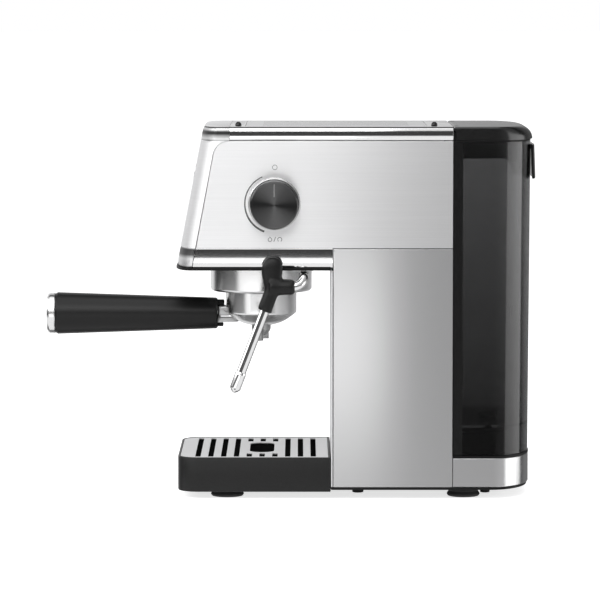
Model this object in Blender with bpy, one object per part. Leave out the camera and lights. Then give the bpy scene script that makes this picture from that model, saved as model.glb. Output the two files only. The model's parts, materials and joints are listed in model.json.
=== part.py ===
"""Slim pump espresso machine: every separate piece as its own solid.

Everything is drawn in the machine's frame: x = 0 is the middle of the body with +X on the user's
right, y = 0 is the axis of the brewing group with the front towards -Y, and z = 0 is the table.
The empty that carries all pieces then puts the middle of the whole outline on the world origin.
"""
import math

import bmesh
import bpy
from mathutils import Matrix, Vector

MM = 0.001
GAP = 0.3 * MM                    # clearance between touching pieces

# sides of a round piece, by its size
HOSE = 8
COARSE = 12
MEDIUM = 16
FINE = 24
ROUND = 30

# body
HALF_WIDTH = 73.0 * MM
PANEL_X = 72.4 * MM               # outer face of the sheet-metal sides
SHEET = 1.2 * MM
WALL = 2.2 * MM                   # moulded walls
FOOT_HEIGHT = 7.4 * MM
BASE_TOP = 9.5 * MM
COLUMN_FRONT = 58.2 * MM
BODY_REAR = 158.0 * MM
SEAM_Z = 207.0 * MM               # between column side and head side
HEAD_BOTTOM = 188.7 * MM
RAIL_LOW = 190.8 * MM
PANEL_TOP = 295.2 * MM
HEAD_TOP = 306.5 * MM

FEET = {
    "foot_front_left": (-50.0 * MM, -27.6 * MM),
    "foot_front_right": (50.0 * MM, -27.6 * MM),
    "foot_rear_left": (-50.0 * MM, 168.0 * MM),
    "foot_rear_right": (50.0 * MM, 168.0 * MM),
}
PINS = {"top_pin_front": -18.2 * MM, "top_pin_rear": 143.2 * MM}
PIN_X = 48.0 * MM
PIN_R = 2.6 * MM
PIN_RISE = 3.1 * MM
PIN_STEM = 1.2 * MM

# front fascia: flat middle, bowed corners, leaning back
FRONT_Y = -59.1 * MM              # at FRONT_Z
FRONT_Z = 244.2 * MM
FRONT_LEAN = 0.193
SEAM_Y = -45.7 * MM               # slanted seam between fascia and side panel, at SEAM_REF_Z
SEAM_REF_Z = 246.1 * MM
SEAM_LEAN = 0.186
SEAM_TOP_Y = -25.0 * MM
CORNER_X = 36.0 * MM
CORNER_Y = 13.0 * MM

# rear: tank, lid, skirt
TANK_FRONT = 158.6 * MM
TANK_REAR = 224.0 * MM
TANK_REAR_LOW = 222.7 * MM
TANK_LOW = 36.3 * MM
TANK_FLOOR = 61.0 * MM
TANK_TOP = 294.0 * MM
TANK_CORNER_X = 52.0 * MM
TANK_CORNER_Y = 33.0 * MM
VALVE_Y = 190.0 * MM
LID_REAR = 225.6 * MM
LID_LOW = 295.5 * MM
LID_CORNER = 12.0 * MM
HINGE_Y = 160.6 * MM
HINGE_Z = 304.6 * MM
BARREL = 1.9 * MM
LID_PIN_R = 0.9 * MM
KNUCKLE_X = (46.0 * MM, 51.0 * MM)
HANDLE_REAR = 229.8 * MM
SKIRT_REAR = 223.2 * MM
SKIRT_TOP = 33.5 * MM

# brewing group and portafilter, all round the z axis
GROUP_NECK_R = 30.0 * MM
COLLAR_R = 42.4 * MM
COLLAR_LOW = 167.0 * MM
LIP_TOP = 169.6 * MM
LIP_R = 31.6 * MM
CAVITY_R = 37.6 * MM
BOWL_R = 29.6 * MM
BOWL_TOP = 174.0 * MM
BOWL_LOW = 147.4 * MM
BORE_R = 26.7 * MM
BREW_AXIS_Z = 147.5 * MM          # centre line of the portafilter's handle
GRIP_START = -36.6 * MM
GRIP_END = -172.1 * MM
HANDLE_END = -179.3 * MM
EAR_HALF = 9.0 * MM
EAR_R = 35.4 * MM
UNLOCK_ANGLE = math.radians(-45.0)

# steam knob and wand on the right side
KNOB_Y = 11.6 * MM
KNOB_Z = 243.5 * MM
KNOB_FACE = 94.0 * MM
KNOB_R = 19.6 * MM
KNOB_RING_R = 21.5 * MM
SPINDLE_R = 3.0 * MM
WAND_X = 58.0 * MM
WAND_Y = 35.6 * MM
WAND_PIPE_R = 4.0 * MM
BUSH_R = 7.2 * MM
ARM_X = 83.0 * MM
ARM_Z = 176.0 * MM
ARM_R = 6.2 * MM
ARM_REAR = 29.5 * MM
TUBE_LEAN = math.radians(21.0)
TUBE_TOP_Y = 10.0 * MM            # the steam tube's line crosses z = TUBE_TOP_Z here
TUBE_TOP_Z = 172.5 * MM
TUBE_R = 3.8 * MM
TUBE_END = 76.0 * MM              # along the tube, from its top
NOZZLE_R = 4.6 * MM
NOZZLE_START = 71.0 * MM
NOZZLE_END = 89.0 * MM

# pump and its water line inside the column
SUCTION_Z = 25.0 * MM
PUMP_X = -15.0 * MM
PUMP_Y = 108.0 * MM

# drip tray
TRAY_HALF = 71.0 * MM
TRAY_FRONT = -68.4 * MM
TRAY_REAR = 57.9 * MM
TRAY_LOW = 5.6 * MM
TRAY_TOP = 34.2 * MM
TRAY_CORNER = 17.0 * MM
GRID_THICK = 0.8 * MM
SLOT_PITCH = 10.6 * MM
SLOT_WIDTH = 4.5 * MM
SLOT_HALF = 62.0 * MM
FIRST_SLOT = -51.8 * MM
SLOT_ROWS = 10

# front buttons
BUTTON_Z = 268.0 * MM
BUTTON_R = 7.0 * MM
BUTTON_PITCH = 18.0 * MM
BUTTON_NAMES = ("button_power", "button_one_cup", "button_two_cups", "button_steam")

OFFSET = Vector((-(KNOB_FACE - HALF_WIDTH) / 2, -(HANDLE_REAR + HANDLE_END) / 2, 0.0))

STEEL = ("brushed_steel", (0.62, 0.62, 0.63), 0.32, 1.0)
POLISHED = ("polished_steel", (0.78, 0.78, 0.79), 0.12, 1.0)
CHROME = ("chrome", (0.82, 0.82, 0.83), 0.06, 1.0)
BLACK = ("black_plastic", (0.014, 0.014, 0.015), 0.42, 0.0)
GLOSS = ("gloss_black_plastic", (0.012, 0.012, 0.013), 0.12, 0.0)
GRAPHITE = ("graphite_metal", (0.07, 0.07, 0.075), 0.30, 1.0)
SMOKE = ("smoked_plastic", (0.10, 0.10, 0.105), 0.08, 0.0)
RUBBER = ("black_rubber", (0.012, 0.012, 0.012), 0.75, 0.0)
SILICONE = ("silicone", (0.62, 0.60, 0.56), 0.55, 0.0)
ALUMINIUM = ("cast_aluminium", (0.55, 0.55, 0.56), 0.45, 1.0)
BRASS = ("brass", (0.60, 0.44, 0.18), 0.35, 1.0)
BOARD = ("circuit_board", (0.02, 0.14, 0.06), 0.5, 0.0)


# ---------------------------------------------------------------- mesh helpers
def mesh_object(name, points, faces):
    """An object from points and faces, with its faces turned outwards."""
    mesh = bpy.data.meshes.new(name)
    mesh.from_pydata([tuple(point) for point in points], [], faces)
    shell = bmesh.new()
    shell.from_mesh(mesh)
    bmesh.ops.recalc_face_normals(shell, faces=shell.faces)
    shell.to_mesh(mesh)
    shell.free()
    obj = bpy.data.objects.new(name, mesh)
    bpy.context.scene.collection.objects.link(obj)
    return obj


def loft(name, sections):
    """A closed solid through sections, each a list of the same number of 3-D points."""
    count = len(sections[0])
    points = [point for section in sections for point in section]
    faces = [list(range(count)), [len(points) - count + i for i in range(count)]]
    for level in range(len(sections) - 1):
        start = level * count
        for i in range(count):
            after = (i + 1) % count
            faces.append([start + i, start + after, start + count + after, start + count + i])
    return mesh_object(name, points, faces)


def prism(name, outline, axis, low, high):
    """A flat outline pushed along one axis: X takes (y, z), Y takes (x, z), Z takes (x, y)."""
    place = {
        "X": lambda a, b, level: (level, a, b),
        "Y": lambda a, b, level: (a, level, b),
        "Z": lambda a, b, level: (a, b, level),
    }[axis]
    return loft(name, [[place(a, b, level) for a, b in outline] for level in (low, high)])


def box(name, x, y, z):
    """A block between the pairs x, y and z."""
    outline = [(x[0], y[0]), (x[1], y[0]), (x[1], y[1]), (x[0], y[1])]
    return prism(name, outline, "Z", z[0], z[1])


def turned(name, profile, frame=None, segments=ROUND):
    """A profile of (radius, height) turned round Z, then moved by frame.

    A profile that starts and ends on the axis is solid; any other is a closed ring.
    """
    rings = []
    points = []
    for radius, height in profile:
        if radius == 0.0:
            rings.append([len(points)])
            points.append((0.0, 0.0, height))
            continue
        rings.append([len(points) + i for i in range(segments)])
        for i in range(segments):
            angle = 2.0 * math.pi * i / segments
            points.append((radius * math.cos(angle), radius * math.sin(angle), height))
    pairs = list(zip(rings, rings[1:]))
    if profile[0][0] > 0.0:
        pairs.append((rings[-1], rings[0]))
    faces = []
    for low, high in pairs:
        for i in range(segments):
            after = (i + 1) % segments
            corners = [low[i % len(low)], low[after % len(low)]]
            corners += [high[after % len(high)], high[i % len(high)]]
            faces.append(list(dict.fromkeys(corners)))
    obj = mesh_object(name, points, faces)
    if frame is not None:
        obj.data.transform(frame)
    return obj


def disc(name, radius, low, high, frame=None, segments=ROUND):
    """A plain cylinder along the frame's Z."""
    return turned(name, [(0.0, low), (radius, low), (radius, high), (0.0, high)], frame, segments)


def smooth_path(knots, steps):
    """Points of a Catmull-Rom curve through the knots."""
    knots = [Vector(knot) for knot in knots]
    ends = [2 * knots[0] - knots[1]] + knots + [2 * knots[-1] - knots[-2]]
    path = []
    for i in range(1, len(ends) - 2):
        before, start, stop, after = ends[i - 1:i + 3]
        for step in range(steps):
            t = step / steps
            path.append(0.5 * (2 * start + (stop - before) * t
                               + (2 * before - 5 * start + 4 * stop - after) * t * t
                               + (3 * start - before - 3 * stop + after) * t ** 3))
    return path + [knots[-1]]


def pipe(name, knots, radius, bore, steps=2, segments=HOSE):
    """A round tube with an open bore along a smooth curve through the knots."""
    path = smooth_path(knots, steps)
    tangent = (path[1] - path[0]).normalized()
    side = tangent.orthogonal().normalized()
    rings = []
    for i, point in enumerate(path):
        ahead = path[min(i + 1, len(path) - 1)] - path[max(i - 1, 0)]
        turn = tangent.rotation_difference(ahead.normalized())
        side = turn @ side
        tangent = ahead.normalized()
        other = tangent.cross(side)
        rings.append((point, side.copy(), other))
    points = []
    for size in (radius, bore):
        for centre, side, other in rings:
            for k in range(segments):
                angle = 2.0 * math.pi * k / segments
                points.append(centre + size * (math.cos(angle) * side + math.sin(angle) * other))
    faces = []
    inner = len(rings) * segments
    for i in range(len(rings) - 1):
        for k in range(segments):
            after = (k + 1) % segments
            a, b = i * segments + k, i * segments + after
            faces.append([a, b, b + segments, a + segments])
            faces.append([inner + a, inner + a + segments, inner + b + segments, inner + b])
    for row in (0, len(rings) - 1):
        for k in range(segments):
            a = row * segments + k
            b = row * segments + (k + 1) % segments
            faces.append([a, b, inner + b, inner + a])
    return mesh_object(name, points, faces)


def combine(target, others, operation):
    """Cut, join or intersect target with the others, which are used up."""
    for other in others:
        modifier = target.modifiers.new("shape", "BOOLEAN")
        modifier.operation = operation
        modifier.object = other
    graph = bpy.context.evaluated_depsgraph_get()
    shaped = bpy.data.meshes.new_from_object(target.evaluated_get(graph))
    target.modifiers.clear()
    target.data = shaped
    for other in others:
        bpy.data.objects.remove(other)
    return target


def cut(target, *others):
    return combine(target, others, "DIFFERENCE")


def join(target, *others):
    return combine(target, others, "UNION")


def along(axis, origin):
    """A frame at origin whose Z points along axis."""
    turn = Vector((0.0, 0.0, 1.0)).rotation_difference(Vector(axis).normalized())
    return Matrix.Translation(origin) @ turn.to_matrix().to_4x4()


def material(look):
    name, colour, roughness, metallic = look
    found = bpy.data.materials.get(name)
    if found:
        return found
    made = bpy.data.materials.new(name)
    made.use_nodes = True
    made.diffuse_color = (*colour, 1.0)
    shader = made.node_tree.nodes["Principled BSDF"]
    shader.inputs["Base Color"].default_value = (*colour, 1.0)
    shader.inputs["Roughness"].default_value = roughness
    shader.inputs["Metallic"].default_value = metallic
    return made


def place(obj, look, carrier, origin=(0.0, 0.0, 0.0)):
    """Give the piece its material, its origin and its carrier."""
    mesh = obj.data
    mesh.transform(Matrix.Translation(-Vector(origin)))
    mesh.materials.clear()
    mesh.materials.append(material(look))
    mesh.shade_smooth()
    mesh.set_sharp_from_angle(angle=math.radians(32.0))
    obj.location = origin
    obj.parent = carrier
    return obj


# ---------------------------------------------------------------- outlines
def arc(centre, size, start, stop, steps):
    """Points on an ellipse from start to stop degrees."""
    points = []
    for i in range(steps + 1):
        angle = math.radians(start + (stop - start) * i / steps)
        points.append((centre[0] + size[0] * math.cos(angle), centre[1] + size[1] * math.sin(angle)))
    return points


def rear_outline(half, front, rear, inset=0.0, steps=7):
    """Plan of the tank, lid and base: square in front, elliptical corners at the rear."""
    half, front, rear = half - inset, front + inset, rear - inset
    size = (TANK_CORNER_X - inset, TANK_CORNER_Y - inset)
    right = arc((half - size[0], rear - size[1]), size, 0, 90, steps)
    left = [(-x, y) for x, y in reversed(right)]
    return [(-half, front), (half, front)] + right + left


def front_y(z):
    return FRONT_Y + FRONT_LEAN * (z - FRONT_Z)


def seam_y(z):
    return SEAM_Y + SEAM_LEAN * (z - SEAM_REF_Z)


def front_outline(z, half, rear, inset=0.0, steps=7):
    """Plan of the head at height z: flat middle and bowed corners in front, square behind."""
    size = (CORNER_X - inset, CORNER_Y - inset)
    centre_y = front_y(z) + CORNER_Y
    left = arc((-(half - inset - size[0]), centre_y), size, 180, 270, steps)
    right = [(-x, y) for x, y in reversed(left)]
    return left + right + [(half - inset, rear), (-(half - inset), rear)]


def seam_line(shift, top):
    """The fascia's rear edge seen from the side, from below the head up to z = top.

    A positive shift moves the whole line back, away from the fascia.
    """
    turn = math.atan(SEAM_LEAN)
    reach = SEAM_TOP_Y - seam_y(PANEL_TOP)
    radius = reach * math.tan((math.pi / 2 + turn) / 2)
    centre = (SEAM_TOP_Y, PANEL_TOP - radius)
    size = (radius - shift, radius - shift)
    rounded = arc(centre, size, 180.0 - math.degrees(turn), 90.0, 8)
    low = HEAD_BOTTOM - 4 * MM
    return [(seam_y(low) + shift / math.cos(turn), low)] + rounded + [(SEAM_TOP_Y + shift, top)]


def rail_outline(low, high, side, depth=3.2 * MM, crown=1.3 * MM):
    """Section of a polished side rail: flat inside, crowned outside."""
    middle, reach = (low + high) / 2, (high - low) / 2
    outer = arc((HALF_WIDTH - crown, middle), (crown, reach), -90, 90, 8)
    outline = outer + [(HALF_WIDTH - depth, high), (HALF_WIDTH - depth, low)]
    return [(side * x, z) for x, z in outline]


# ---------------------------------------------------------------- base and feet
def base_plate(carrier):
    """Floor pan of the column and tank, with the tongue that carries the tray."""
    tongue_half, tongue_front, tongue_top = 66.0 * MM, -51.0 * MM, 10.4 * MM
    stem_hole = 4.4 * MM
    boss_low = 4.6 * MM
    bosses = [(0.0, -5.0 * MM, 8.0 * MM)]
    for x in (-50.0 * MM, 50.0 * MM):
        bosses += [(x, 80.6 * MM, 4.7 * MM), (x, 186.0 * MM, 4.0 * MM)]
    plate = prism("base_plate", rear_outline(PANEL_X, COLUMN_FRONT, 222.0 * MM), "Z", FOOT_HEIGHT, BASE_TOP)
    parts = [box("tongue", (-tongue_half, tongue_half), (tongue_front, 70.0 * MM), (FOOT_HEIGHT, tongue_top))]
    for x, y, radius in bosses:
        parts.append(disc("boss", radius, boss_low, BASE_TOP - MM / 2, Matrix.Translation((x, y, 0)), MEDIUM))
    join(plate, *parts)
    cut(plate, box("relief", (-80 * MM, 80 * MM), (COLUMN_FRONT - MM, 80 * MM), (BASE_TOP, 20 * MM)))
    holes = [disc("hole", stem_hole, 0.0, 20 * MM, Matrix.Translation((x, y, 0)), MEDIUM)
             for x, y in FEET.values()]
    place(cut(plate, *holes), BLACK, carrier)


def foot(name, x, y, carrier):
    """Rubber foot: a flared puck with a stem that plugs into the base."""
    stem, stem_top = 4.0 * MM, 9.2 * MM
    top = FOOT_HEIGHT - GAP
    profile = [(0.0, 0.0), (13.2 * MM, 0.0), (13.9 * MM, 1.6 * MM), (12.3 * MM, top),
               (stem, top), (stem, stem_top), (0.0, stem_top)]
    place(turned(name, profile, Matrix.Translation((x, y, 0)), MEDIUM), RUBBER, carrier, (x, y, 0.0))


# ---------------------------------------------------------------- column and head shell
def column(carrier):
    low = BASE_TOP + GAP
    front = box("column_front_panel", (-PANEL_X, PANEL_X), (COLUMN_FRONT, COLUMN_FRONT + SHEET),
                (low, HEAD_BOTTOM - GAP))
    place(front, STEEL, carrier)
    for side, label in ((-1, "left"), (1, "right")):
        inner, outer = sorted((side * (PANEL_X - SHEET), side * PANEL_X))
        panel = box("column_side_panel_" + label, (inner, outer),
                    (COLUMN_FRONT + SHEET + GAP, BODY_REAR), (low, SEAM_Z - GAP))
        place(panel, STEEL, carrier)
    wall = PANEL_X - SHEET - GAP
    bulkhead = box("rear_bulkhead", (-wall, wall), (BODY_REAR - WALL, BODY_REAR), (low, PANEL_TOP))
    hose_hole = disc("hole", 5.0 * MM, 140 * MM, 170 * MM, along((0, 1, 0), (0, 0, SUCTION_Z)), MEDIUM)
    place(cut(bulkhead, hose_hole), BLACK, carrier)


def head_side_panels(carrier):
    """Sheet sides of the head: slanted front edge with a rounded top corner."""
    edge = seam_line(GAP, PANEL_TOP)
    top = PANEL_TOP - GAP
    low = (seam_y(SEAM_Z) + GAP, SEAM_Z)
    outline = [low] + edge[1:-1] + [(BODY_REAR, top), (BODY_REAR, SEAM_Z)]
    stem_hole = 3.8 * MM
    for side, label in ((-1, "left"), (1, "right")):
        inner, outer = sorted((side * (PANEL_X - SHEET), side * PANEL_X))
        panel = prism("head_side_panel_" + label, outline, "X", inner, outer)
        if side > 0:
            knob_axis = along((1, 0, 0), (0, KNOB_Y, KNOB_Z))
            cut(panel, disc("hole", stem_hole, 60 * MM, 80 * MM, knob_axis, MEDIUM))
        place(panel, STEEL, carrier)


def front_fascia(carrier):
    """Shell that wraps the head's front from seam to seam, with the button holes."""
    behind = -10 * MM
    shell = loft("front_fascia", [[(x, y, z) for x, y in front_outline(z, HALF_WIDTH, behind)]
                                  for z in (RAIL_LOW + GAP, HEAD_TOP)])
    hollow = loft("hollow", [[(x, y, z) for x, y in front_outline(z, HALF_WIDTH, behind + MM, WALL)]
                             for z in (RAIL_LOW - MM, HEAD_TOP - WALL)])
    edge = seam_line(-GAP, HEAD_TOP + MM)
    back = prism("back", edge + [(0.0, HEAD_TOP + MM), (0.0, edge[0][1])], "X", -80 * MM, 80 * MM)
    holes = [disc("hole", BUTTON_R + GAP, -6 * MM, 6 * MM, button_frame(i), MEDIUM) for i in range(4)]
    place(cut(shell, hollow, back, *holes), STEEL, carrier)


def lower_rails(carrier):
    """Polished rails along the head's lower edge, mitred to the fascia's slanted seam."""
    for side, label in ((-1, "left"), (1, "right")):
        outline = rail_outline(RAIL_LOW + GAP, SEAM_Z - GAP, side)
        rail = prism("lower_rail_" + label, outline, "Y", -70 * MM, COLUMN_FRONT + SHEET)
        edge = seam_line(GAP, HEAD_TOP)
        ahead = [(-90 * MM, HEAD_TOP), (-90 * MM, edge[0][1])]
        place(cut(rail, prism("ahead", edge + ahead, "X", -80 * MM, 80 * MM)), POLISHED, carrier)


def head_bottom_plate(carrier):
    outline = front_outline(HEAD_BOTTOM, PANEL_X, COLUMN_FRONT - GAP)
    plate = prism("head_bottom_plate", outline, "Z", HEAD_BOTTOM, RAIL_LOW)
    group_hole = disc("hole", GROUP_NECK_R + GAP, 180 * MM, 200 * MM)
    wand_spot = Matrix.Translation((WAND_X, WAND_Y, 0))
    wand_hole = disc("hole", BUSH_R + GAP, 180 * MM, 200 * MM, wand_spot, COARSE)
    place(cut(plate, group_hole, wand_hole), BLACK, carrier)


def top_cover(carrier):
    """Top of the head with its two side rails, and the plate that warms cups."""
    front, rear = SEAM_TOP_Y, BODY_REAR - 0.1 * MM
    right = rail_outline(PANEL_TOP + GAP, HEAD_TOP, 1)
    inner = right[-1][0]
    ceiling = HEAD_TOP - WALL
    half = right[:-2] + [(0.0, HEAD_TOP), (0.0, ceiling), (inner, ceiling), (inner, PANEL_TOP + GAP)]
    cover = prism("top_cover", half, "Y", front, rear)
    mirrored = prism("half", [(-x, z) for x, z in half], "Y", front, rear)
    join(cover, mirrored)
    plate_half, plate_front, plate_rear, plate_thick = 60 * MM, -12 * MM, 137 * MM, 1.0 * MM
    pocket = box("pocket", (-plate_half - GAP, plate_half + GAP), (plate_front - GAP, plate_rear + GAP),
                 (HEAD_TOP - plate_thick - GAP, HEAD_TOP + MM))
    holes = [disc("hole", PIN_STEM + GAP, 300 * MM, 310 * MM, Matrix.Translation((PIN_X, y, 0)), HOSE)
             for y in PINS.values()]
    place(cut(cover, pocket, *holes), POLISHED, carrier)
    plate = box("cup_plate", (-plate_half, plate_half), (plate_front, plate_rear),
                (HEAD_TOP - plate_thick, HEAD_TOP))
    place(plate, STEEL, carrier)
    for name, y in PINS.items():
        crown = HEAD_TOP + GAP
        dome = arc((0.0, crown), (PIN_R, PIN_RISE), 0, 90, 5)
        profile = [(0.0, crown - 4 * MM), (PIN_STEM, crown - 4 * MM), (PIN_STEM, crown)] + dome[:-1]
        profile.append((0.0, crown + PIN_RISE))
        place(turned(name, profile, Matrix.Translation((PIN_X, y, 0)), COARSE), BLACK, carrier)


# ---------------------------------------------------------------- front buttons
def button_frame(index):
    """Frame on the fascia's face at one button, its Z pointing out of the face."""
    x = (index - 1.5) * BUTTON_PITCH
    return along((0.0, -1.0, FRONT_LEAN), (x, front_y(BUTTON_Z), BUTTON_Z))


def buttons(carrier):
    proud, back = 1.2 * MM, -5.0 * MM
    flange_r, flange_front, flange_back = 8.4 * MM, -2.6 * MM, -3.8 * MM
    profile = [(0.0, back), (BUTTON_R - MM, back), (BUTTON_R - MM, flange_back), (flange_r, flange_back),
               (flange_r, flange_front), (BUTTON_R, flange_front), (BUTTON_R, proud - 0.6 * MM),
               (BUTTON_R - 0.6 * MM, proud), (0.0, proud)]
    for i, name in enumerate(BUTTON_NAMES):
        frame = button_frame(i)
        cap = turned(name, profile, None, MEDIUM)
        place(cap, POLISHED, carrier)
        cap.matrix_local = frame
    board = box("control_board", (-45 * MM, 45 * MM), (-16 * MM, 16 * MM), (-9.8 * MM, -8.2 * MM))
    board.data.transform(along((0.0, -1.0, FRONT_LEAN), (0.0, front_y(BUTTON_Z), BUTTON_Z)))
    place(board, BOARD, carrier)


# ---------------------------------------------------------------- brewing group
def group(carrier):
    """Collar with its bayonet lip, head casting, gasket, shower screen and its screw."""
    top = HEAD_BOTTOM - GAP
    edge = 1.0 * MM
    ring = [(LIP_R, COLLAR_LOW), (COLLAR_R - edge, COLLAR_LOW), (COLLAR_R, COLLAR_LOW + edge),
            (COLLAR_R, top), (CAVITY_R, top), (CAVITY_R, LIP_TOP), (LIP_R, LIP_TOP)]
    collar = turned("group_collar", ring)
    gate = box("gate", (-CAVITY_R + MM, CAVITY_R - MM), (-EAR_HALF - MM, EAR_HALF + MM),
               (COLLAR_LOW - MM, LIP_TOP + MM))
    gate.data.transform(Matrix.Rotation(UNLOCK_ANGLE, 4, "Z"))
    place(cut(collar, gate), CHROME, carrier)

    face, channel = 178.2 * MM, 183.4 * MM
    water_hole = 1.9 * MM
    gasket_in, gasket_out = 24.6 * MM, 29.5 * MM
    casting = [(water_hole, face), (gasket_in - GAP, face), (gasket_in - GAP, channel),
               (gasket_out + GAP, channel), (gasket_out + GAP, face), (CAVITY_R - MM, face),
               (CAVITY_R - MM, top), (GROUP_NECK_R, top), (GROUP_NECK_R, 206 * MM), (water_hole, 206 * MM)]
    place(turned("group_head", casting), ALUMINIUM, carrier)

    seal_low = 175.5 * MM
    seal_top = channel - GAP
    seal = [(gasket_in, seal_low), (gasket_out, seal_low), (gasket_out, seal_top), (gasket_in, seal_top)]
    place(turned("group_gasket", seal), RUBBER, carrier)

    screen_low, screen_top, screen_r = 176.6 * MM, 177.8 * MM, 23.6 * MM
    screen = [(water_hole, screen_low), (screen_r, screen_low), (screen_r, screen_top),
              (water_hole, screen_top)]
    place(turned("shower_screen", screen), STEEL, carrier)

    head_r, shank_r, head_low = 3.8 * MM, 1.5 * MM, 174.9 * MM
    screw = [(0.0, head_low), (head_r, head_low), (head_r, screen_low - GAP), (shank_r, screen_low - GAP),
             (shank_r, 188 * MM), (0.0, 188 * MM)]
    place(turned("shower_screw", screw, None, MEDIUM), STEEL, carrier)


# ---------------------------------------------------------------- works inside
def boiler(carrier):
    low, shoulder = 206.4 * MM, 268 * MM
    profile = [(0.0, low), (33 * MM, low), (33 * MM, low + 6 * MM), (30 * MM, low + 6 * MM),
               (30 * MM, shoulder), (24 * MM, shoulder + 8 * MM), (0.0, shoulder + 10 * MM)]
    place(turned("boiler", profile, None), ALUMINIUM, carrier)


def pump(carrier):
    """Vibration pump in a sheet bracket, hung by a rubber bush from its upper shelf."""
    spot = Matrix.Translation((PUMP_X, PUMP_Y, 0))
    shelf_low, shelf_high, sheet = 44 * MM, 138 * MM, 2 * MM
    back = 131.5 * MM
    body = [(0.0, 40 * MM), (5 * MM, 40 * MM), (5 * MM, 60 * MM), (20 * MM, 60 * MM), (20 * MM, 122 * MM),
            (12 * MM, 128 * MM), (5 * MM, 128 * MM), (5 * MM, 150 * MM), (0.0, 150 * MM)]
    place(turned("pump", body, spot), BLACK, carrier)
    front, toe, floor = 95 * MM, 85 * MM, BASE_TOP + GAP
    outline = [(toe, floor), (back, floor), (back, shelf_high + sheet),
               (front, shelf_high + sheet), (front, shelf_high), (back - sheet, shelf_high),
               (back - sheet, shelf_low + sheet), (front, shelf_low + sheet), (front, shelf_low),
               (back - sheet, shelf_low), (back - sheet, floor + sheet), (toe, floor + sheet)]
    bracket = prism("pump_bracket", outline, "X", -45 * MM, 15 * MM)
    bush_r = 10 * MM
    hole = disc("hole", bush_r + GAP, 30 * MM, 160 * MM, spot, COARSE)
    hose_axis = along((0, 1, 0), (-4 * MM, 0, 24 * MM))
    hose_hole = disc("hole", 6.5 * MM, 120 * MM, 140 * MM, hose_axis, MEDIUM)
    place(cut(bracket, hole, hose_hole), STEEL, carrier)
    bush_low, bush_high, bush_bore = 130 * MM, 146 * MM, 5 * MM + GAP
    ring = [(bush_bore, bush_low), (bush_r, bush_low), (bush_r, bush_high), (bush_bore, bush_high)]
    place(turned("pump_bush", ring, spot, COARSE), RUBBER, carrier)


def hoses(carrier):
    suction = [(0.0, VALVE_Y, 51.4 * MM), (0.0, VALVE_Y, 36 * MM), (0.0, 183 * MM, 26 * MM),
               (0.0, 170 * MM, SUCTION_Z), (0.0, 150 * MM, SUCTION_Z), (-4 * MM, 130 * MM, 24 * MM),
               (-12 * MM, 114 * MM, 24 * MM), (PUMP_X, PUMP_Y, 31 * MM), (PUMP_X, PUMP_Y, 39.6 * MM)]
    place(pipe("suction_hose", suction, 3.4 * MM, 2.0 * MM), SILICONE, carrier)
    pressure = [(PUMP_X, PUMP_Y, 150.4 * MM), (PUMP_X, PUMP_Y, 175 * MM), (PUMP_X, 100 * MM, 200 * MM),
                (-9 * MM, 76 * MM, 219 * MM), (0.0, 48 * MM, 224 * MM), (0.0, 30.6 * MM, 224 * MM)]
    place(pipe("pressure_hose", pressure, 3.0 * MM, 1.8 * MM), SILICONE, carrier)


def steam_valve(carrier):
    """Valve body beside the boiler: inlet stub, spindle bore and the pipe that feeds the wand."""
    axis = along((1, 0, 0), (0, KNOB_Y, KNOB_Z))
    body = disc("steam_valve", 11 * MM, 42 * MM, 62 * MM, axis, MEDIUM)
    inlet = disc("inlet", 3.5 * MM, 30.8 * MM, 45 * MM, along((1, 0, 0), (0, 4 * MM, KNOB_Z)), COARSE)
    outlet = disc("outlet", 3.5 * MM, 222 * MM, 240 * MM, Matrix.Translation((52 * MM, KNOB_Y, 0)), COARSE)
    feed = [(52 * MM, KNOB_Y, 226 * MM), (52 * MM, 14 * MM, 215 * MM), (54 * MM, 24 * MM, 209 * MM),
            (57 * MM, 32 * MM, 206.5 * MM), (WAND_X, WAND_Y, 204 * MM), (WAND_X, WAND_Y, 200.5 * MM)]
    join(body, inlet, outlet, pipe("feed", feed, 2.6 * MM, 1.5 * MM))
    place(cut(body, disc("bore", SPINDLE_R + GAP, 48 * MM, 66 * MM, axis, MEDIUM)), BRASS, carrier)


# ---------------------------------------------------------------- steam knob
def steam_knob(carrier, knob_carrier):
    """Turned knob with its spindle, over a fixed ring on the side panel."""
    axis = along((1, 0, 0), (0, KNOB_Y, KNOB_Z))
    ring_face = 74.6 * MM
    ring_bore, edge = 5.0 * MM, 0.5 * MM
    ring = [(ring_bore, PANEL_X + GAP), (KNOB_RING_R, PANEL_X + GAP), (KNOB_RING_R, ring_face - edge),
            (KNOB_RING_R - edge, ring_face), (ring_bore, ring_face)]
    place(turned("knob_ring", ring, axis), STEEL, carrier)
    back, bore_end = ring_face + 0.4 * MM, 88 * MM
    bore = SPINDLE_R + GAP
    cap = [(0.0, bore_end), (bore, bore_end), (bore, back), (KNOB_R, back),
           (KNOB_R - 0.3 * MM, KNOB_FACE - MM), (KNOB_R - 1.3 * MM, KNOB_FACE), (0.0, KNOB_FACE)]
    origin = (0.0, 0.0, 0.0)
    knob = turned("steam_knob", cap, axis)
    knob.data.transform(Matrix.Translation((0, -KNOB_Y, -KNOB_Z)))
    place(knob, GRAPHITE, knob_carrier, origin)
    spindle = disc("knob_spindle", SPINDLE_R, 49 * MM, bore_end - GAP, along((1, 0, 0), origin), MEDIUM)
    place(spindle, STEEL, knob_carrier, origin)


# ---------------------------------------------------------------- steam wand
def tube_point(along_tube):
    """A point on the steam tube's line, at a distance below its top."""
    return Vector((ARM_X, TUBE_TOP_Y - along_tube * math.sin(TUBE_LEAN),
                   TUBE_TOP_Z - along_tube * math.cos(TUBE_LEAN)))


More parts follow.
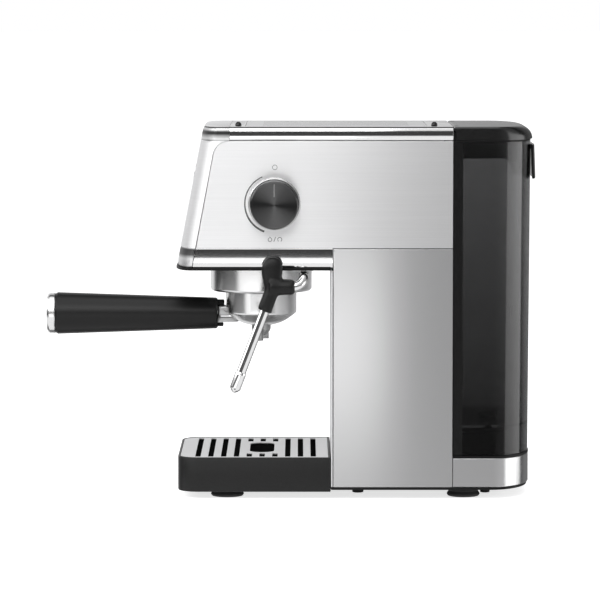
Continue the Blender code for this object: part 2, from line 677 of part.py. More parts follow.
def wand_grip(tube_axis):
    """Moulded grip: a flat thumb lobe, the arm on the pipe, and the sleeve that holds the tube."""
    thumb = arc((10.2 * MM, 192.4 * MM), (7.7 * MM, 8.4 * MM), 0, 180, 14)
    outline = thumb + [(4.6 * MM, 173.4 * MM), (16.1 * MM, 171.3 * MM)]
    half_thick = 3.4 * MM
    grip = prism("wand_grip", outline, "X", ARM_X - half_thick, ARM_X + half_thick)
    arm_axis = along((0, 1, 0), (ARM_X, 0, ARM_Z))
    round_end = arc((0.0, ARM_REAR - 2 * MM), (ARM_R, 2 * MM), 0, 90, 4)
    arm_profile = [(0.0, 8 * MM), (ARM_R, 8 * MM)] + [(r, y) for r, y in round_end[:-1]] + [(0.0, ARM_REAR)]
    arm = turned("arm", arm_profile, arm_axis, MEDIUM)
    sleeve_top, sleeve_end, sleeve_r, sleeve_end_r = -6 * MM, 17 * MM, 5.9 * MM, 5.4 * MM
    sleeve_profile = [(0.0, sleeve_top), (sleeve_r - MM, sleeve_top), (sleeve_r, 0.0),
                      (sleeve_end_r, sleeve_end), (0.0, sleeve_end)]
    join(grip, arm, turned("sleeve", sleeve_profile, tube_axis, MEDIUM))
    pipe_bore = disc("bore", WAND_PIPE_R + GAP, 22 * MM, 40 * MM, arm_axis, MEDIUM)
    tube_bore = disc("bore", TUBE_R + GAP, 8 * MM, 30 * MM, tube_axis, MEDIUM)
    return cut(grip, pipe_bore, tube_bore)


def steam_wand(carrier, wand_carrier):
    """Bush in the head, then the swivelling pipe, grip, tube and nozzle."""
    spot = Matrix.Translation((WAND_X, WAND_Y, 0))
    low, shoulder, top = 187.5 * MM, HEAD_BOTTOM - GAP, 198 * MM
    bore, flange = WAND_PIPE_R + GAP, 9.0 * MM
    bush = [(bore, low), (flange, low), (flange, shoulder), (BUSH_R, shoulder), (BUSH_R, top), (bore, top)]
    place(turned("wand_bush", bush, spot, MEDIUM), BLACK, carrier)

    run_z = 182.9 * MM
    bend = [(WAND_X, WAND_Y, 200 * MM), (WAND_X, WAND_Y, 188.4 * MM), (59.4 * MM, WAND_Y, 184.7 * MM),
            (63 * MM, WAND_Y, run_z), (75 * MM, WAND_Y, run_z), (80.8 * MM, WAND_Y - 0.3 * MM, 181.4 * MM),
            (ARM_X, 33.9 * MM, 178.4 * MM), (ARM_X, 30.6 * MM, ARM_Z + 0.4 * MM), (ARM_X, 27 * MM, ARM_Z),
            (ARM_X, 23 * MM, ARM_Z)]
    elbow = pipe("wand_elbow", bend, WAND_PIPE_R, 2.2 * MM, 2, COARSE)

    tube_axis = along(tube_point(1.0) - tube_point(0.0), tube_point(0.0))
    grip = wand_grip(tube_axis)
    tube_line = [tube_point(distance * MM) for distance in (8.4, 30, 55)] + [tube_point(TUBE_END)]
    tube = pipe("steam_tube", tube_line, TUBE_R, 1.8 * MM, 1, COARSE)
    tube_seat = TUBE_R + GAP
    shallow = 3.4 * MM
    dome = arc((0.0, NOZZLE_END - shallow), (NOZZLE_R, shallow), 0, 90, 6)
    bulb = [(0.0, TUBE_END + GAP), (tube_seat, TUBE_END + GAP), (tube_seat, NOZZLE_START),
            (NOZZLE_R - 0.2 * MM, NOZZLE_START), (NOZZLE_R, NOZZLE_START + MM)]
    bulb += dome[:-1] + [(0.0, NOZZLE_END)]
    nozzle = turned("steam_nozzle", bulb, tube_axis, MEDIUM)
    shift = Matrix.Translation((-WAND_X, -WAND_Y, 0))
    for piece, look in ((elbow, CHROME), (grip, BLACK), (tube, CHROME), (nozzle, CHROME)):
        piece.data.transform(shift)
        place(piece, look, wand_carrier)


# ---------------------------------------------------------------- portafilter
def portafilter(carrier):
    """Bowl with ears and neck in one casting, basket, twin spout, grip and end cap."""
    outlet = 3.0 * MM
    low = 138.3 * MM
    floor = 149.2 * MM
    bowl = [(outlet, low), (8 * MM, low), (18 * MM, 141 * MM), (26.5 * MM, 145.6 * MM),
            (BOWL_R, BOWL_LOW + MM), (BOWL_R, BOWL_TOP), (BORE_R, BOWL_TOP), (BORE_R, floor), (outlet, floor)]
    body = turned("portafilter_body", bowl)
    ears = box("ears", (-EAR_R, EAR_R), (-EAR_HALF, EAR_HALF), (LIP_TOP + GAP, BOWL_TOP - 0.4 * MM))
    toward = along((0, -1, 0), (0, 0, BREW_AXIS_Z))
    neck_r, stud_r = 8.8 * MM, 4.3 * MM
    neck_start, stud_start, stud_end = 27 * MM, -GRIP_START - GAP, 72 * MM
    stem = [(0.0, neck_start), (neck_r + MM, neck_start), (neck_r, 31 * MM), (neck_r, stud_start),
            (stud_r, stud_start), (stud_r, stud_end), (0.0, stud_end)]
    neck = turned("neck", stem, toward, MEDIUM)
    foot_tip = box("web", (-5 * MM, 5 * MM), (-30 * MM, -19 * MM), (139.3 * MM, 143.5 * MM))
    join(body, ears, neck, foot_tip)
    cut(body, disc("bore", BORE_R, floor, 180 * MM))
    place(body, CHROME, carrier)

    skin = 0.6 * MM
    wall, flange, floor = BORE_R - 0.5 * MM, 29.2 * MM, floor + MM
    rim_low, rim_top = BOWL_TOP + GAP, 175.2 * MM
    basket = [(0.0, floor), (wall - MM, floor), (wall, floor + MM), (wall, rim_low), (flange, rim_low),
              (flange, rim_top), (wall - skin, rim_top), (wall - skin, floor + MM + skin),
              (wall - MM - skin, floor + skin), (0.0, floor + skin)]
    place(turned("filter_basket", basket), STEEL, carrier)

    top = low - GAP
    mouth_x, turn = 10.0 * MM, Matrix.Rotation(math.radians(-13.0), 4, "Z")
    spout = disc("twin_spout", 8 * MM, 132 * MM, top, None, COARSE)
    channels = [disc("inlet", 3 * MM, 133 * MM, 140 * MM, None, COARSE)]
    branches = []
    for side in (-1, 1):
        slope = along((side * mouth_x, 0, -6 * MM), (0, 0, 134.5 * MM))
        mouth = Matrix.Translation((side * mouth_x, 0, 0))
        branches.append(disc("branch", 4.2 * MM, 0.0, 11 * MM, slope, COARSE))
        branches.append(disc("mouth", 3.9 * MM, 125.8 * MM, 131 * MM, mouth, COARSE))
        channels.append(disc("channel", 2.2 * MM, 0.0, 11 * MM, slope, HOSE))
        channels.append(disc("channel", 2.6 * MM, 124 * MM, 129.5 * MM, mouth, HOSE))
    join(spout, *branches)
    cut(spout, *channels)
    spout.data.transform(turn)
    place(spout, CHROME, carrier)

    start, end = -GRIP_START, -GRIP_END
    grip_bore, bore_end = stud_r + GAP, 73 * MM
    grip = [(0.0, bore_end), (grip_bore, bore_end), (grip_bore, start), (12.2 * MM, start),
            (13 * MM, start + MM), (17.5 * MM, end - MM), (16.9 * MM, end), (0.0, end)]
    place(turned("handle_grip", grip, toward, FINE), BLACK, carrier)
    cap_r, edge = 17.0 * MM, 3.0 * MM
    stop = -HANDLE_END
    cap = [(0.0, end + GAP), (cap_r, end + GAP)] + arc((cap_r - edge, stop - edge), (edge, edge), 0, 90, 4)
    cap.append((0.0, stop))
    place(turned("handle_cap", cap, toward, FINE), CHROME, carrier)


# ---------------------------------------------------------------- drip tray
def tray_outline(inset=0.0, rear=TRAY_REAR):
    half, front, corner = TRAY_HALF - inset, TRAY_FRONT + inset, TRAY_CORNER - inset
    right = arc((half - corner, front + corner), (corner, corner), -90, 0, 6)
    left = [(-x, y) for x, y in reversed(right)]
    return left + right + [(half, rear - inset), (-half, rear - inset)]


def drip_tray(tray_carrier, grid_carrier):
    """Tray that slides over the base's tongue, and the lift-out grid in its rim."""
    rim, wall = 1.8 * MM, 3.2 * MM
    floor_low, floor_top = 12.6 * MM, 14.6 * MM
    seat = TRAY_TOP - GRID_THICK - 2 * GAP
    tray = prism("drip_tray", tray_outline(), "Z", TRAY_LOW, TRAY_TOP)
    recess = prism("recess", tray_outline(rim), "Z", seat, TRAY_TOP + MM)
    basin = prism("basin", tray_outline(wall), "Z", floor_top, TRAY_TOP + MM)
    under = prism("under", tray_outline(wall, TRAY_REAR + 20 * MM), "Z", TRAY_LOW - MM, floor_low)
    place(cut(tray, recess, basin, under), BLACK, tray_carrier)

    grid = prism("drip_grid", tray_outline(rim + GAP), "Z", TRAY_TOP - GRID_THICK - GAP, TRAY_TOP - GAP)
    cutters = []
    z = (TRAY_TOP - 3 * MM, TRAY_TOP + MM)
    end_slot, hole_half, hole_reach, arch = 22.0 * MM, 33.0 * MM, 10.2 * MM, 11.0 * MM
    for row in range(SLOT_ROWS):
        y = FIRST_SLOT + row * SLOT_PITCH
        band = (y - SLOT_WIDTH / 2, y + SLOT_WIDTH / 2)
        if abs(y) > 15 * MM:
            cutters.append(box("slot", (-SLOT_HALF, SLOT_HALF), band, z))
            continue
        for side in (-1, 1):
            ends = sorted((side * (SLOT_HALF - end_slot), side * SLOT_HALF))
            cutters.append(box("slot", ends, band, z))
    right = arc((hole_half - arch, 0.8 * MM), (arch, hole_reach), -90, 90, 8)
    hole = right + [(-x, y) for x, y in reversed(right)]
    cutters.append(prism("hole", hole, "Z", *z))
    place(cut(grid, *cutters), STEEL, grid_carrier)


# ---------------------------------------------------------------- tank
def tank_section(z, inset=0.0):
    """The tank narrows slightly towards its foot."""
    part = (z - TANK_LOW) / (TANK_TOP - TANK_LOW)
    rear = TANK_REAR_LOW + (TANK_REAR - TANK_REAR_LOW) * part
    return [(x, y, z) for x, y in rear_outline(HALF_WIDTH, TANK_FRONT, rear, inset)]


def water_tank(tank_carrier):
    """Smoked tank with a raised floor, its black collar, hinge pin, valve and pull handle."""
    valve_hole = 3.4 * MM
    floor_low = TANK_FLOOR - WALL
    tank = loft("water_tank", [tank_section(TANK_LOW), tank_section(TANK_TOP)])
    inside = loft("inside", [tank_section(TANK_FLOOR, WALL), tank_section(TANK_TOP + MM, WALL)])
    under = loft("under", [tank_section(TANK_LOW - MM, WALL), tank_section(floor_low, WALL)])
    drain = disc("drain", valve_hole, 50 * MM, 70 * MM, Matrix.Translation((0, VALVE_Y, 0)), MEDIUM)
    place(cut(tank, inside, under, drain), SMOKE, tank_carrier)

    rim_low, rim_top = TANK_TOP + GAP, LID_LOW - GAP
    inner_low = 280.5 * MM
    sleeve_gap = WALL + 0.4 * MM
    opening = sleeve_gap + 2 * MM
    collar = prism("tank_collar", rear_outline(HALF_WIDTH, TANK_FRONT, TANK_REAR), "Z", rim_low, rim_top)
    sleeve = prism("sleeve", rear_outline(HALF_WIDTH, TANK_FRONT, TANK_REAR, sleeve_gap), "Z", inner_low,
                   rim_top - MM / 4)
    upstand_front, upstand_rear = TANK_FRONT + MM / 10, 160.0 * MM
    upstand_outline = [(upstand_front, rim_low), (upstand_rear, rim_low), (upstand_rear, 302.3 * MM),
                       (upstand_front, 303.4 * MM)]
    upstand = prism("upstand", upstand_outline, "X", -HALF_WIDTH + MM, HALF_WIDTH - MM)
    join(collar, sleeve, upstand)
    mouth = rear_outline(HALF_WIDTH, TANK_FRONT, TANK_REAR, opening)
    cut(collar, prism("opening", mouth, "Z", 270 * MM, 300 * MM))
    hinge = along((1, 0, 0), (0, HINGE_Y, HINGE_Z))
    knuckles = []
    for side in (-1, 1):
        low, high = sorted((side * KNUCKLE_X[0], side * KNUCKLE_X[1]))
        knuckles.append(disc("knuckle", BARREL - 0.1 * MM, low, high, hinge, MEDIUM))
        knuckles.append(box("stalk", (low, high), (upstand_front, upstand_rear), (300 * MM, HINGE_Z)))
    join(collar, *knuckles)
    cut(collar, disc("hole", LID_PIN_R + GAP, -70 * MM, 70 * MM, hinge, COARSE))
    place(collar, BLACK, tank_carrier)
    place(disc("lid_hinge_pin", LID_PIN_R, -62 * MM, 62 * MM, hinge, COARSE), STEEL, tank_carrier)

    low, high = 262.3 * MM, 290.6 * MM
    half, thick = 38 * MM, 2.1 * MM
    outer = []
    for i in range(13):
        x = -half + 2 * half * i / 12
        reach = max(abs(x) - (HALF_WIDTH - TANK_CORNER_X), 0.0) / TANK_CORNER_X
        outer.append((x, HANDLE_REAR - TANK_CORNER_Y * (1.0 - math.sqrt(1.0 - reach * reach))))
    inner = [(x, y - thick) for x, y in reversed(outer)]
    handle = prism("tank_handle", outer + inner, "Z", low, high)
    root = box("root", (-24 * MM, 24 * MM), (TANK_REAR + 0.4 * MM, HANDLE_REAR - MM), (high - 5 * MM, high))
    place(join(handle, root), BLACK, tank_carrier)


def tank_lid(lid_carrier):
    """Lid with a barrel along its front edge, pocketed for the collar's two knuckles."""
    profile = [(160.3 * MM, LID_LOW), (LID_REAR, LID_LOW)]
    profile += arc((LID_REAR - LID_CORNER, LID_LOW), (LID_CORNER, HEAD_TOP - LID_LOW), 20, 90, 8)
    profile += arc((HINGE_Y, HINGE_Z), (BARREL, BARREL), 90, 262, 10)
    lid = prism("tank_lid", profile, "X", -HALF_WIDTH - MM, HALF_WIDTH + MM)
    plan = prism("plan", rear_outline(HALF_WIDTH, 150 * MM, LID_REAR), "Z", LID_LOW - MM, HEAD_TOP + MM)
    combine(lid, [plan], "INTERSECT")
    hollow_top = 302.2 * MM
    inside = rear_outline(HALF_WIDTH, 160.3 * MM, LID_REAR - 2 * MM, WALL)
    hollow = prism("hollow", inside, "Z", LID_LOW - MM, hollow_top)
    pockets = []
    for side in (-1, 1):
        x = sorted((side * (KNUCKLE_X[0] - GAP), side * (KNUCKLE_X[1] + GAP)))
        pockets.append(box("pocket", x, (150 * MM, 163.2 * MM), (hollow_top - MM, HEAD_TOP + MM)))
    hinge = along((1, 0, 0), (0, HINGE_Y, HINGE_Z))
    bore = disc("hole", LID_PIN_R + GAP, -64 * MM, 64 * MM, hinge, COARSE)
    cut(lid, hollow, bore, *pockets)
    lid.data.transform(Matrix.Translation((0, -HINGE_Y, -HINGE_Z)))
    place(lid, GLOSS, lid_carrier)


def tank_valve(valve_carrier):
    """Plunger that the seat lifts to let water out of the tank."""
    stem_r, disc_r = 2.8 * MM, 7.0 * MM
    low, top = 55.5 * MM, TANK_FLOOR + 2.3 * MM
    seat = TANK_FLOOR + GAP
    profile = [(0.0, low), (stem_r, low), (stem_r, seat), (disc_r, seat), (disc_r, top), (0.0, top)]
    plunger = turned("tank_valve", profile, None, MEDIUM)
    place(plunger, SILICONE, valve_carrier)


def tank_foot(carrier):
    """Steel skirt under the tank, the hollow seat inside it, and the cord's gland."""
    low = BASE_TOP + GAP
    skirt = prism("tank_skirt", rear_outline(PANEL_X, TANK_FRONT, SKIRT_REAR), "Z", low, SKIRT_TOP)
    inside = prism("inside", rear_outline(PANEL_X, TANK_FRONT, SKIRT_REAR, SHEET), "Z", 0.0, 50 * MM)
    passage = box("passage", (-50 * MM, 50 * MM), (150 * MM, 170 * MM), (0.0, 50 * MM))
    gland_x, gland_z, gland_r = -30 * MM, 21 * MM, 5.6 * MM
    gland_axis = along((0, 1, 0), (gland_x, 0, gland_z))
    gland_hole = disc("hole", gland_r + GAP, 200 * MM, 240 * MM, gland_axis, MEDIUM)
    place(cut(skirt, inside, passage, gland_hole), STEEL, carrier)

    seat_top = 54.0 * MM
    rim = prism("tank_seat", rear_outline(PANEL_X, TANK_FRONT, SKIRT_REAR + 0.2 * MM), "Z", SKIRT_TOP + GAP,
                TANK_LOW - GAP)
    block = prism("block", rear_outline(62 * MM, 162 * MM, 212 * MM), "Z", low, seat_top)
    valve_spot = Matrix.Translation((0, VALVE_Y, 0))
    join(rim, block, disc("nozzle", 5.5 * MM, 50 * MM, seat_top + 1.2 * MM, valve_spot, COARSE))
    hollow = prism("hollow", rear_outline(62 * MM, 162 * MM, 212 * MM, WALL), "Z", low - MM, seat_top - WALL)
    cut(rim, hollow)
    water_hole = disc("hole", 2.2 * MM, 30 * MM, 60 * MM, valve_spot, COARSE)
    hose_hole = disc("hole", 5.0 * MM, 150 * MM, 170 * MM, along((0, 1, 0), (0, 0, SUCTION_Z)), MEDIUM)
    place(cut(rim, water_hole, hose_hole), BLACK, carrier)

    cord_hole, flange_r, plug_end = 2.5 * MM, 8.5 * MM, 214 * MM
    back, face = SKIRT_REAR + GAP, SKIRT_REAR + 1.2 * MM
    flange = [(cord_hole, plug_end), (gland_r, plug_end), (gland_r, back), (flange_r, back),
              (flange_r, face), (cord_hole, face)]
    place(turned("cord_gland", flange, gland_axis, COARSE), BLACK, carrier)


# ---------------------------------------------------------------- assembly
def empty(name, location, parent=None):
    made = bpy.data.objects.new(name, None)
    bpy.context.scene.collection.objects.link(made)
    made.location = location
    made.parent = parent
    return made


def main():
    for obj in list(bpy.data.objects):
        bpy.data.objects.remove(obj)
    machine = empty("machine", OFFSET)
    knob_axis = empty("knob_axis", (0.0, KNOB_Y, KNOB_Z), machine)
    wand_axis = empty("wand_axis", (WAND_X, WAND_Y, 0.0), machine)
    group_axis = empty("group_axis", (0.0, 0.0, 0.0), machine)
    tray_slide = empty("tray_slide", (0.0, 0.0, 0.0), machine)
    tank_slide = empty("tank_slide", (0.0, 0.0, 0.0), machine)
    lid_axis = empty("lid_axis", (0.0, HINGE_Y, HINGE_Z), tank_slide)
    valve_axis = empty("valve_axis", (0.0, VALVE_Y, 0.0), tank_slide)

    base_plate(machine)
    for name, (x, y) in FEET.items():
        foot(name, x, y, machine)
    column(machine)
    head_side_panels(machine)
    front_fascia(machine)
    lower_rails(machine)
    head_bottom_plate(machine)
    top_cover(machine)
    buttons(machine)
    group(machine)
    boiler(machine)
    pump(machine)
    hoses(machine)
    steam_valve(machine)
    steam_knob(machine, knob_axis)
    steam_wand(machine, wand_axis)
    portafilter(group_axis)
    drip_tray(tray_slide, tray_slide)
    water_tank(tank_slide)
    tank_lid(lid_axis)
    tank_valve(valve_axis)
    tank_foot(machine)


main()
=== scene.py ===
"""Looks of the slim pump espresso machine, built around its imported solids.

The frame's boxes say where everything is. Every piece is drawn in millimetres, with the brewing
group's axis as x = y = 0, the front towards -Y and the user's right at +X. mesh_piece turns the
drawing into metres, and stand_in moves it to its place in the frame.
"""
import json
from math import atan2, copysign, cos, degrees, pi, radians, sin, sqrt, tan

import bmesh
import bpy
from mathutils import Matrix, Vector


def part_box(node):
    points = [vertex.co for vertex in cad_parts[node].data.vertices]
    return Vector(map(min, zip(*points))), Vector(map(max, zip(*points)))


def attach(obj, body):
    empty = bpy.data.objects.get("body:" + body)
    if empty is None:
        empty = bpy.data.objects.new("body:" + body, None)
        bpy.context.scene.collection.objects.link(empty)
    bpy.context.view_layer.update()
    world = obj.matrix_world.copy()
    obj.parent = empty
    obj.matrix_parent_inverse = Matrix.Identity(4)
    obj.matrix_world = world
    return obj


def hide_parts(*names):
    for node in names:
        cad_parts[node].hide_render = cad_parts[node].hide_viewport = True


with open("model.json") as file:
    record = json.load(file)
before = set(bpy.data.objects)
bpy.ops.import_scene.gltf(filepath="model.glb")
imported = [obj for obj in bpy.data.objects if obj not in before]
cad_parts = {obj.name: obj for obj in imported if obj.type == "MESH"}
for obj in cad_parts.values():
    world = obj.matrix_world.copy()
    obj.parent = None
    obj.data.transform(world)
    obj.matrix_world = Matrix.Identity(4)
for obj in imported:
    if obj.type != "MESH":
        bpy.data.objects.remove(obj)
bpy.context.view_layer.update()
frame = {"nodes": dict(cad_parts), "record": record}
RECORD = frame["record"]
MM = 0.001

SLOT_OF = {part["node"]: part["material_slot"] for part in RECORD["subparts"]}
BODY_OF = {node: body for body, nodes in RECORD["behaviour"]["bodies"].items() for node in nodes}
GROUP_LOW, GROUP_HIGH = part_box("group_collar")
ORIGIN = Vector(((GROUP_LOW.x + GROUP_HIGH.x) / 2, (GROUP_LOW.y + GROUP_HIGH.y) / 2, 0.0))


class Extent:
    """A node's box in millimetres, measured from the brewing group's axis."""

    def __init__(self, node):
        low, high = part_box(node)
        self.x0, self.y0, self.z0 = (value / MM for value in low - ORIGIN)
        self.x1, self.y1, self.z1 = (value / MM for value in high - ORIGIN)
        self.x, self.y, self.z = (value / MM for value in (low + high) / 2 - ORIGIN)
        self.half_x, self.half_z = (self.x1 - self.x0) / 2, (self.z1 - self.z0) / 2


def in_scene(name, data):
    made = bpy.data.objects.new(name, data)
    bpy.context.scene.collection.objects.link(made)
    return made


# ---- camera
CAMERA_PLACE = (3.0895, 0.00735, 0.4220)
CAMERA_TILT = radians(4.8604)
CAMERA_LENS = 222.264
SENSOR = 36.0
CLIP = (0.1, 200.0)


def camera():
    data = bpy.data.cameras.new("camera")
    data.lens, data.sensor_width = CAMERA_LENS, SENSOR
    data.clip_start, data.clip_end = CLIP
    made = in_scene("camera", data)
    made.location = CAMERA_PLACE
    made.rotation_euler = (pi / 2 - CAMERA_TILT, 0.0, pi / 2)
    bpy.context.scene.camera = made


camera()


# ---- node materials
LOOKS = {}


class Wiring:
    """Short ways to add and join nodes in a tree."""

    def __init__(self, tree):
        self.tree = tree

    def node(self, kind, **values):
        """A new node, with each value on the input of that name or else on the property."""
        made = self.tree.nodes.new(kind)
        for key, value in values.items():
            socket = key.replace("_", " ")
            if socket in made.inputs:
                made.inputs[socket].default_value = value
            else:
                setattr(made, key, value)
        return made

    def link(self, source, output, target, socket):
        self.tree.links.new(source.outputs[output], target.inputs[socket])


class Shader(Wiring):
    """A look being wired: a Principled shader and what drives it."""

    def __init__(self, name, colour, roughness, metallic=0.0, **sockets):
        LOOKS[name] = material = bpy.data.materials.new(name)
        material.use_nodes = True
        super().__init__(material.node_tree)
        self.shader = self.tree.nodes["Principled BSDF"]
        self.set("Base Color", (*colour, 1.0))
        self.set("Roughness", roughness)
        self.set("Metallic", metallic)
        for socket, value in sockets.items():
            self.set(socket.replace("_", " "), value)

    def set(self, socket, value):
        self.shader.inputs[socket].default_value = value

    def noise(self, stretch, detail, roughness=0.5):
        """Noise in object space, stretched by a scale for each axis."""
        place = self.node("ShaderNodeTexCoord")
        mapping = self.node("ShaderNodeMapping", Scale=stretch)
        noise = self.node("ShaderNodeTexNoise", Scale=1.0, Detail=detail, Roughness=roughness)
        self.link(place, "Object", mapping, "Vector")
        self.link(mapping, "Vector", noise, "Vector")
        return noise

    def vary(self, noise, low, high):
        """Drive the roughness between low and high by the noise."""
        scaled = self.node("ShaderNodeMapRange", From_Min=NOISE_SPAN[0], From_Max=NOISE_SPAN[1],
                           To_Min=low, To_Max=high)
        self.link(noise, 0, scaled, "Value")
        self.link(scaled, "Result", self.shader, "Roughness")

    def ramp(self, source, output, stops):
        """Drive the base colour from an output, through (position, colour) stops."""
        ramp = self.node("ShaderNodeValToRGB")
        elements = ramp.color_ramp.elements
        while len(elements) < len(stops):
            elements.new(0.5)
        for element, (position, colour) in zip(elements, stops):
            element.position = position
        for element, (position, colour) in zip(elements, stops):
            element.color = (*colour, 1.0)
        self.link(source, output, ramp, "Fac")
        self.link(ramp, "Color", self.shader, "Base Color")

    def tint(self, noise, dark, light):
        self.ramp(noise, 0, list(zip(NOISE_SPAN, (dark, light))))

    def by_height(self, low, high, stops):
        """Drive the base colour by the height, through (share of the height, level) stops."""
        place = self.node("ShaderNodeTexCoord")
        height = self.node("ShaderNodeSeparateXYZ")
        scaled = self.node("ShaderNodeMapRange", From_Min=low * MM, From_Max=high * MM)
        self.link(place, "Object", height, "Vector")
        self.link(height, "Z", scaled, "Value")
        self.ramp(scaled, "Result", [(share, grey(level)) for share, level in stops])

    def bump(self, noise, strength, distance):
        bump = self.node("ShaderNodeBump", Strength=strength, Distance=distance)
        self.link(noise, 0, bump, "Height")
        self.link(bump, "Normal", self.shader, "Normal")


NOISE_SPAN = (0.3, 0.7)                 # the part of the noise's range that is used
ALONG_LEVEL = (10.0, 10.0, 2600.0)      # horizontal brushing on upright faces
ALONG_DEPTH = (2600.0, 10.0, 10.0)      # brushing from front to rear on level faces


def grey(value):
    return (value, value, value * 1.005)


def brushed(name, level, roughness, stretch, axis="Z", contrast=0.03, anisotropy=0.7):
    made = Shader(name, grey(level), roughness, 1.0, Anisotropic=anisotropy, Anisotropic_Rotation=0.25)
    fine = made.noise(stretch, 4.0, 0.65)
    made.tint(fine, grey(level * (1.0 - contrast)), grey(min(level * (1.0 + contrast), 0.99)))
    made.vary(fine, roughness * 1.006, roughness * 0.994)
    made.bump(fine, 0.02, 0.02 * MM)
    round_axis = made.node("ShaderNodeTangent", direction_type="RADIAL", axis=axis)
    made.link(round_axis, "Tangent", made.shader, "Tangent")


def plain_metal(name, level, roughness, tone=(1.0, 1.0, 1.0)):
    colour = tuple(level * part for part in tone)
    made = Shader(name, colour, roughness, 1.0)
    fine = made.noise((900.0, 900.0, 900.0), 2.0)
    made.vary(fine, roughness * 0.94, roughness * 1.06)
    made.tint(fine, tuple(part * 0.99 for part in colour), colour)


def moulded(name, level, roughness, grain=1400.0, depth=0.03, gloss=0.5):
    """Moulding with a fine eroded grain, whose depth is in millimetres."""
    made = Shader(name, grey(level), roughness, Specular_IOR_Level=gloss)
    fine = made.noise((grain, grain, grain), 2.0)
    made.vary(fine, roughness * 0.88, roughness * 1.12)
    made.tint(fine, grey(level * 0.85), grey(level * 1.15))
    made.bump(fine, 0.35, depth * MM)


def smoked(name):
    """Clear plastic tinted dark, and painted lighter towards the top: painted light, where more light comes
    through it.
    """
    made = Shader(name, grey(0.3), 0.04, IOR=1.46, Transmission_Weight=1.0)
    tank = Extent("water_tank")
    # Painted light: the tint runs from dark at the foot to lighter at the top.
    made.by_height(tank.z0, tank.z1, ((0.0, 0.07), (1.0, 0.22)))
    made.vary(made.noise((300.0, 300.0, 40.0), 2.0), 0.10, 0.13)


def spun(name):
    """Dark anodised face turned on a lathe: rings round the knob's axis."""
    made = Shader(name, grey(0.085), 0.32, 1.0, Anisotropic=0.93)
    knob = Extent("steam_knob")
    steps = [made.node("ShaderNodeVectorMath", operation=kind)
             for kind in ("SUBTRACT", "MULTIPLY", "LENGTH", "NORMALIZE")]
    centred, flat, reach, outward = steps
    centred.inputs[1].default_value = Vector((0.0, knob.y, knob.z)) * MM + ORIGIN
    flat.inputs[1].default_value = (0.0, 1.0, 1.0)
    made.link(made.node("ShaderNodeTexCoord"), "Object", centred, 0)
    made.link(centred, "Vector", flat, 0)
    made.link(flat, "Vector", reach, 0)
    rings = made.node("ShaderNodeTexNoise", Scale=2600.0, Detail=3.0)
    rings.noise_dimensions = "1D"
    made.link(reach, "Value", rings, "W")
    made.tint(rings, grey(0.080), grey(0.092))
    made.vary(rings, 0.30, 0.34)
    made.link(flat, "Vector", outward, 0)
    made.link(outward, "Vector", made.shader, "Tangent")


def fascia_painted_reflections(name):
    """Polished metal with painted reflections: dark and light lines painted by height along each band of
    the fascia, like those the rails beside it show.
    """
    made = Shader(name, grey(0.8), 0.45, 1.0)
    box, panel = Extent("front_fascia"), Extent("head_side_panel_right")
    stops = []
    for foot, top, tones in (
            (box.z0, panel.z0, ((0.0, 0.15), (0.12, 0.8), (0.45, 0.8), (0.66, 0.10), (0.94, 0.06),
                                (1.0, 0.4))),
            (panel.z1, box.z1, ((0.0, 0.4), (0.15, 0.85), (0.38, 0.35), (0.5, 0.04), (0.66, 0.04),
                                (0.82, 0.7), (0.9, 0.5), (0.96, 0.15)))):
        stops += [(foot + (top - foot) * share, level) for share, level in tones]
    low, high = stops[0][0], stops[-1][0]
    made.by_height(low, high, [((height - low) / (high - low), level) for height, level in stops])


brushed("side_steel", 0.86, 0.32, ALONG_LEVEL)
brushed("column_steel", 0.72, 0.27, ALONG_LEVEL, contrast=0.015)
brushed("front_steel", 0.88, 0.5, ALONG_LEVEL, anisotropy=0.2)
brushed("top_steel", 0.72, 0.36, ALONG_DEPTH, "X")
brushed("grid_steel", 0.90, 0.34, ALONG_DEPTH, "X", 0.03, 0.4)
plain_metal("polished", 0.86, 0.10)
fascia_painted_reflections("fascia_painted_reflections")
plain_metal("chrome", 0.86, 0.06)
plain_metal("satin_chrome", 0.86, 0.24)
moulded("satin_black", 0.006, 0.45, gloss=0.15)
moulded("tray_black", 0.009, 0.40, 900.0, gloss=0.3)
moulded("grip_black", 0.006, 0.36, 1200.0, gloss=0.25)
moulded("gloss_black", 0.006, 0.2, 500.0, 0.004, 0.4)
moulded("lid_black", 0.005, 0.22, 500.0, 0.004, 0.7)
smoked("smoked")
# Dark metal for the graphite knob, also used for painted shade and painted reflections.
plain_metal("graphite_and_painted_shade", 0.10, 0.30)
plain_metal("neck_steel", 0.50, 0.36)
plain_metal("bezel", 0.50, 0.34)
moulded("rubber", 0.013, 0.7, 800.0)
moulded("silicone", 0.55, 0.5, 300.0)
plain_metal("cast_aluminium", 0.60, 0.42)
plain_metal("brass", 0.62, 0.30, (1.0, 0.76, 0.36))
moulded("board", 0.05, 0.4, 600.0)
moulded("ink", 0.06, 0.5, 900.0)
moulded("mark", 0.60, 0.5, 900.0)
plain_metal("pointer", 0.62, 0.30)
spun("spun")

# Material slots whose look has another name; the others share theirs.
SLOT_LOOK = {
    "brushed_steel": "side_steel",
    "polished_steel": "polished",
    "smoked_tank": "smoked",
    "graphite_knob": "graphite_and_painted_shade",
    "circuit_board": "board",
}
for node, obj in frame["nodes"].items():
    obj.data.materials.clear()
    obj.data.materials.append(LOOKS[SLOT_LOOK.get(SLOT_OF[node], SLOT_OF[node])])


# ---- mesh helpers
def smooth(obj, angle=30):
    obj.data.shade_smooth()
    obj.data.set_sharp_from_angle(angle=radians(angle))
    return obj


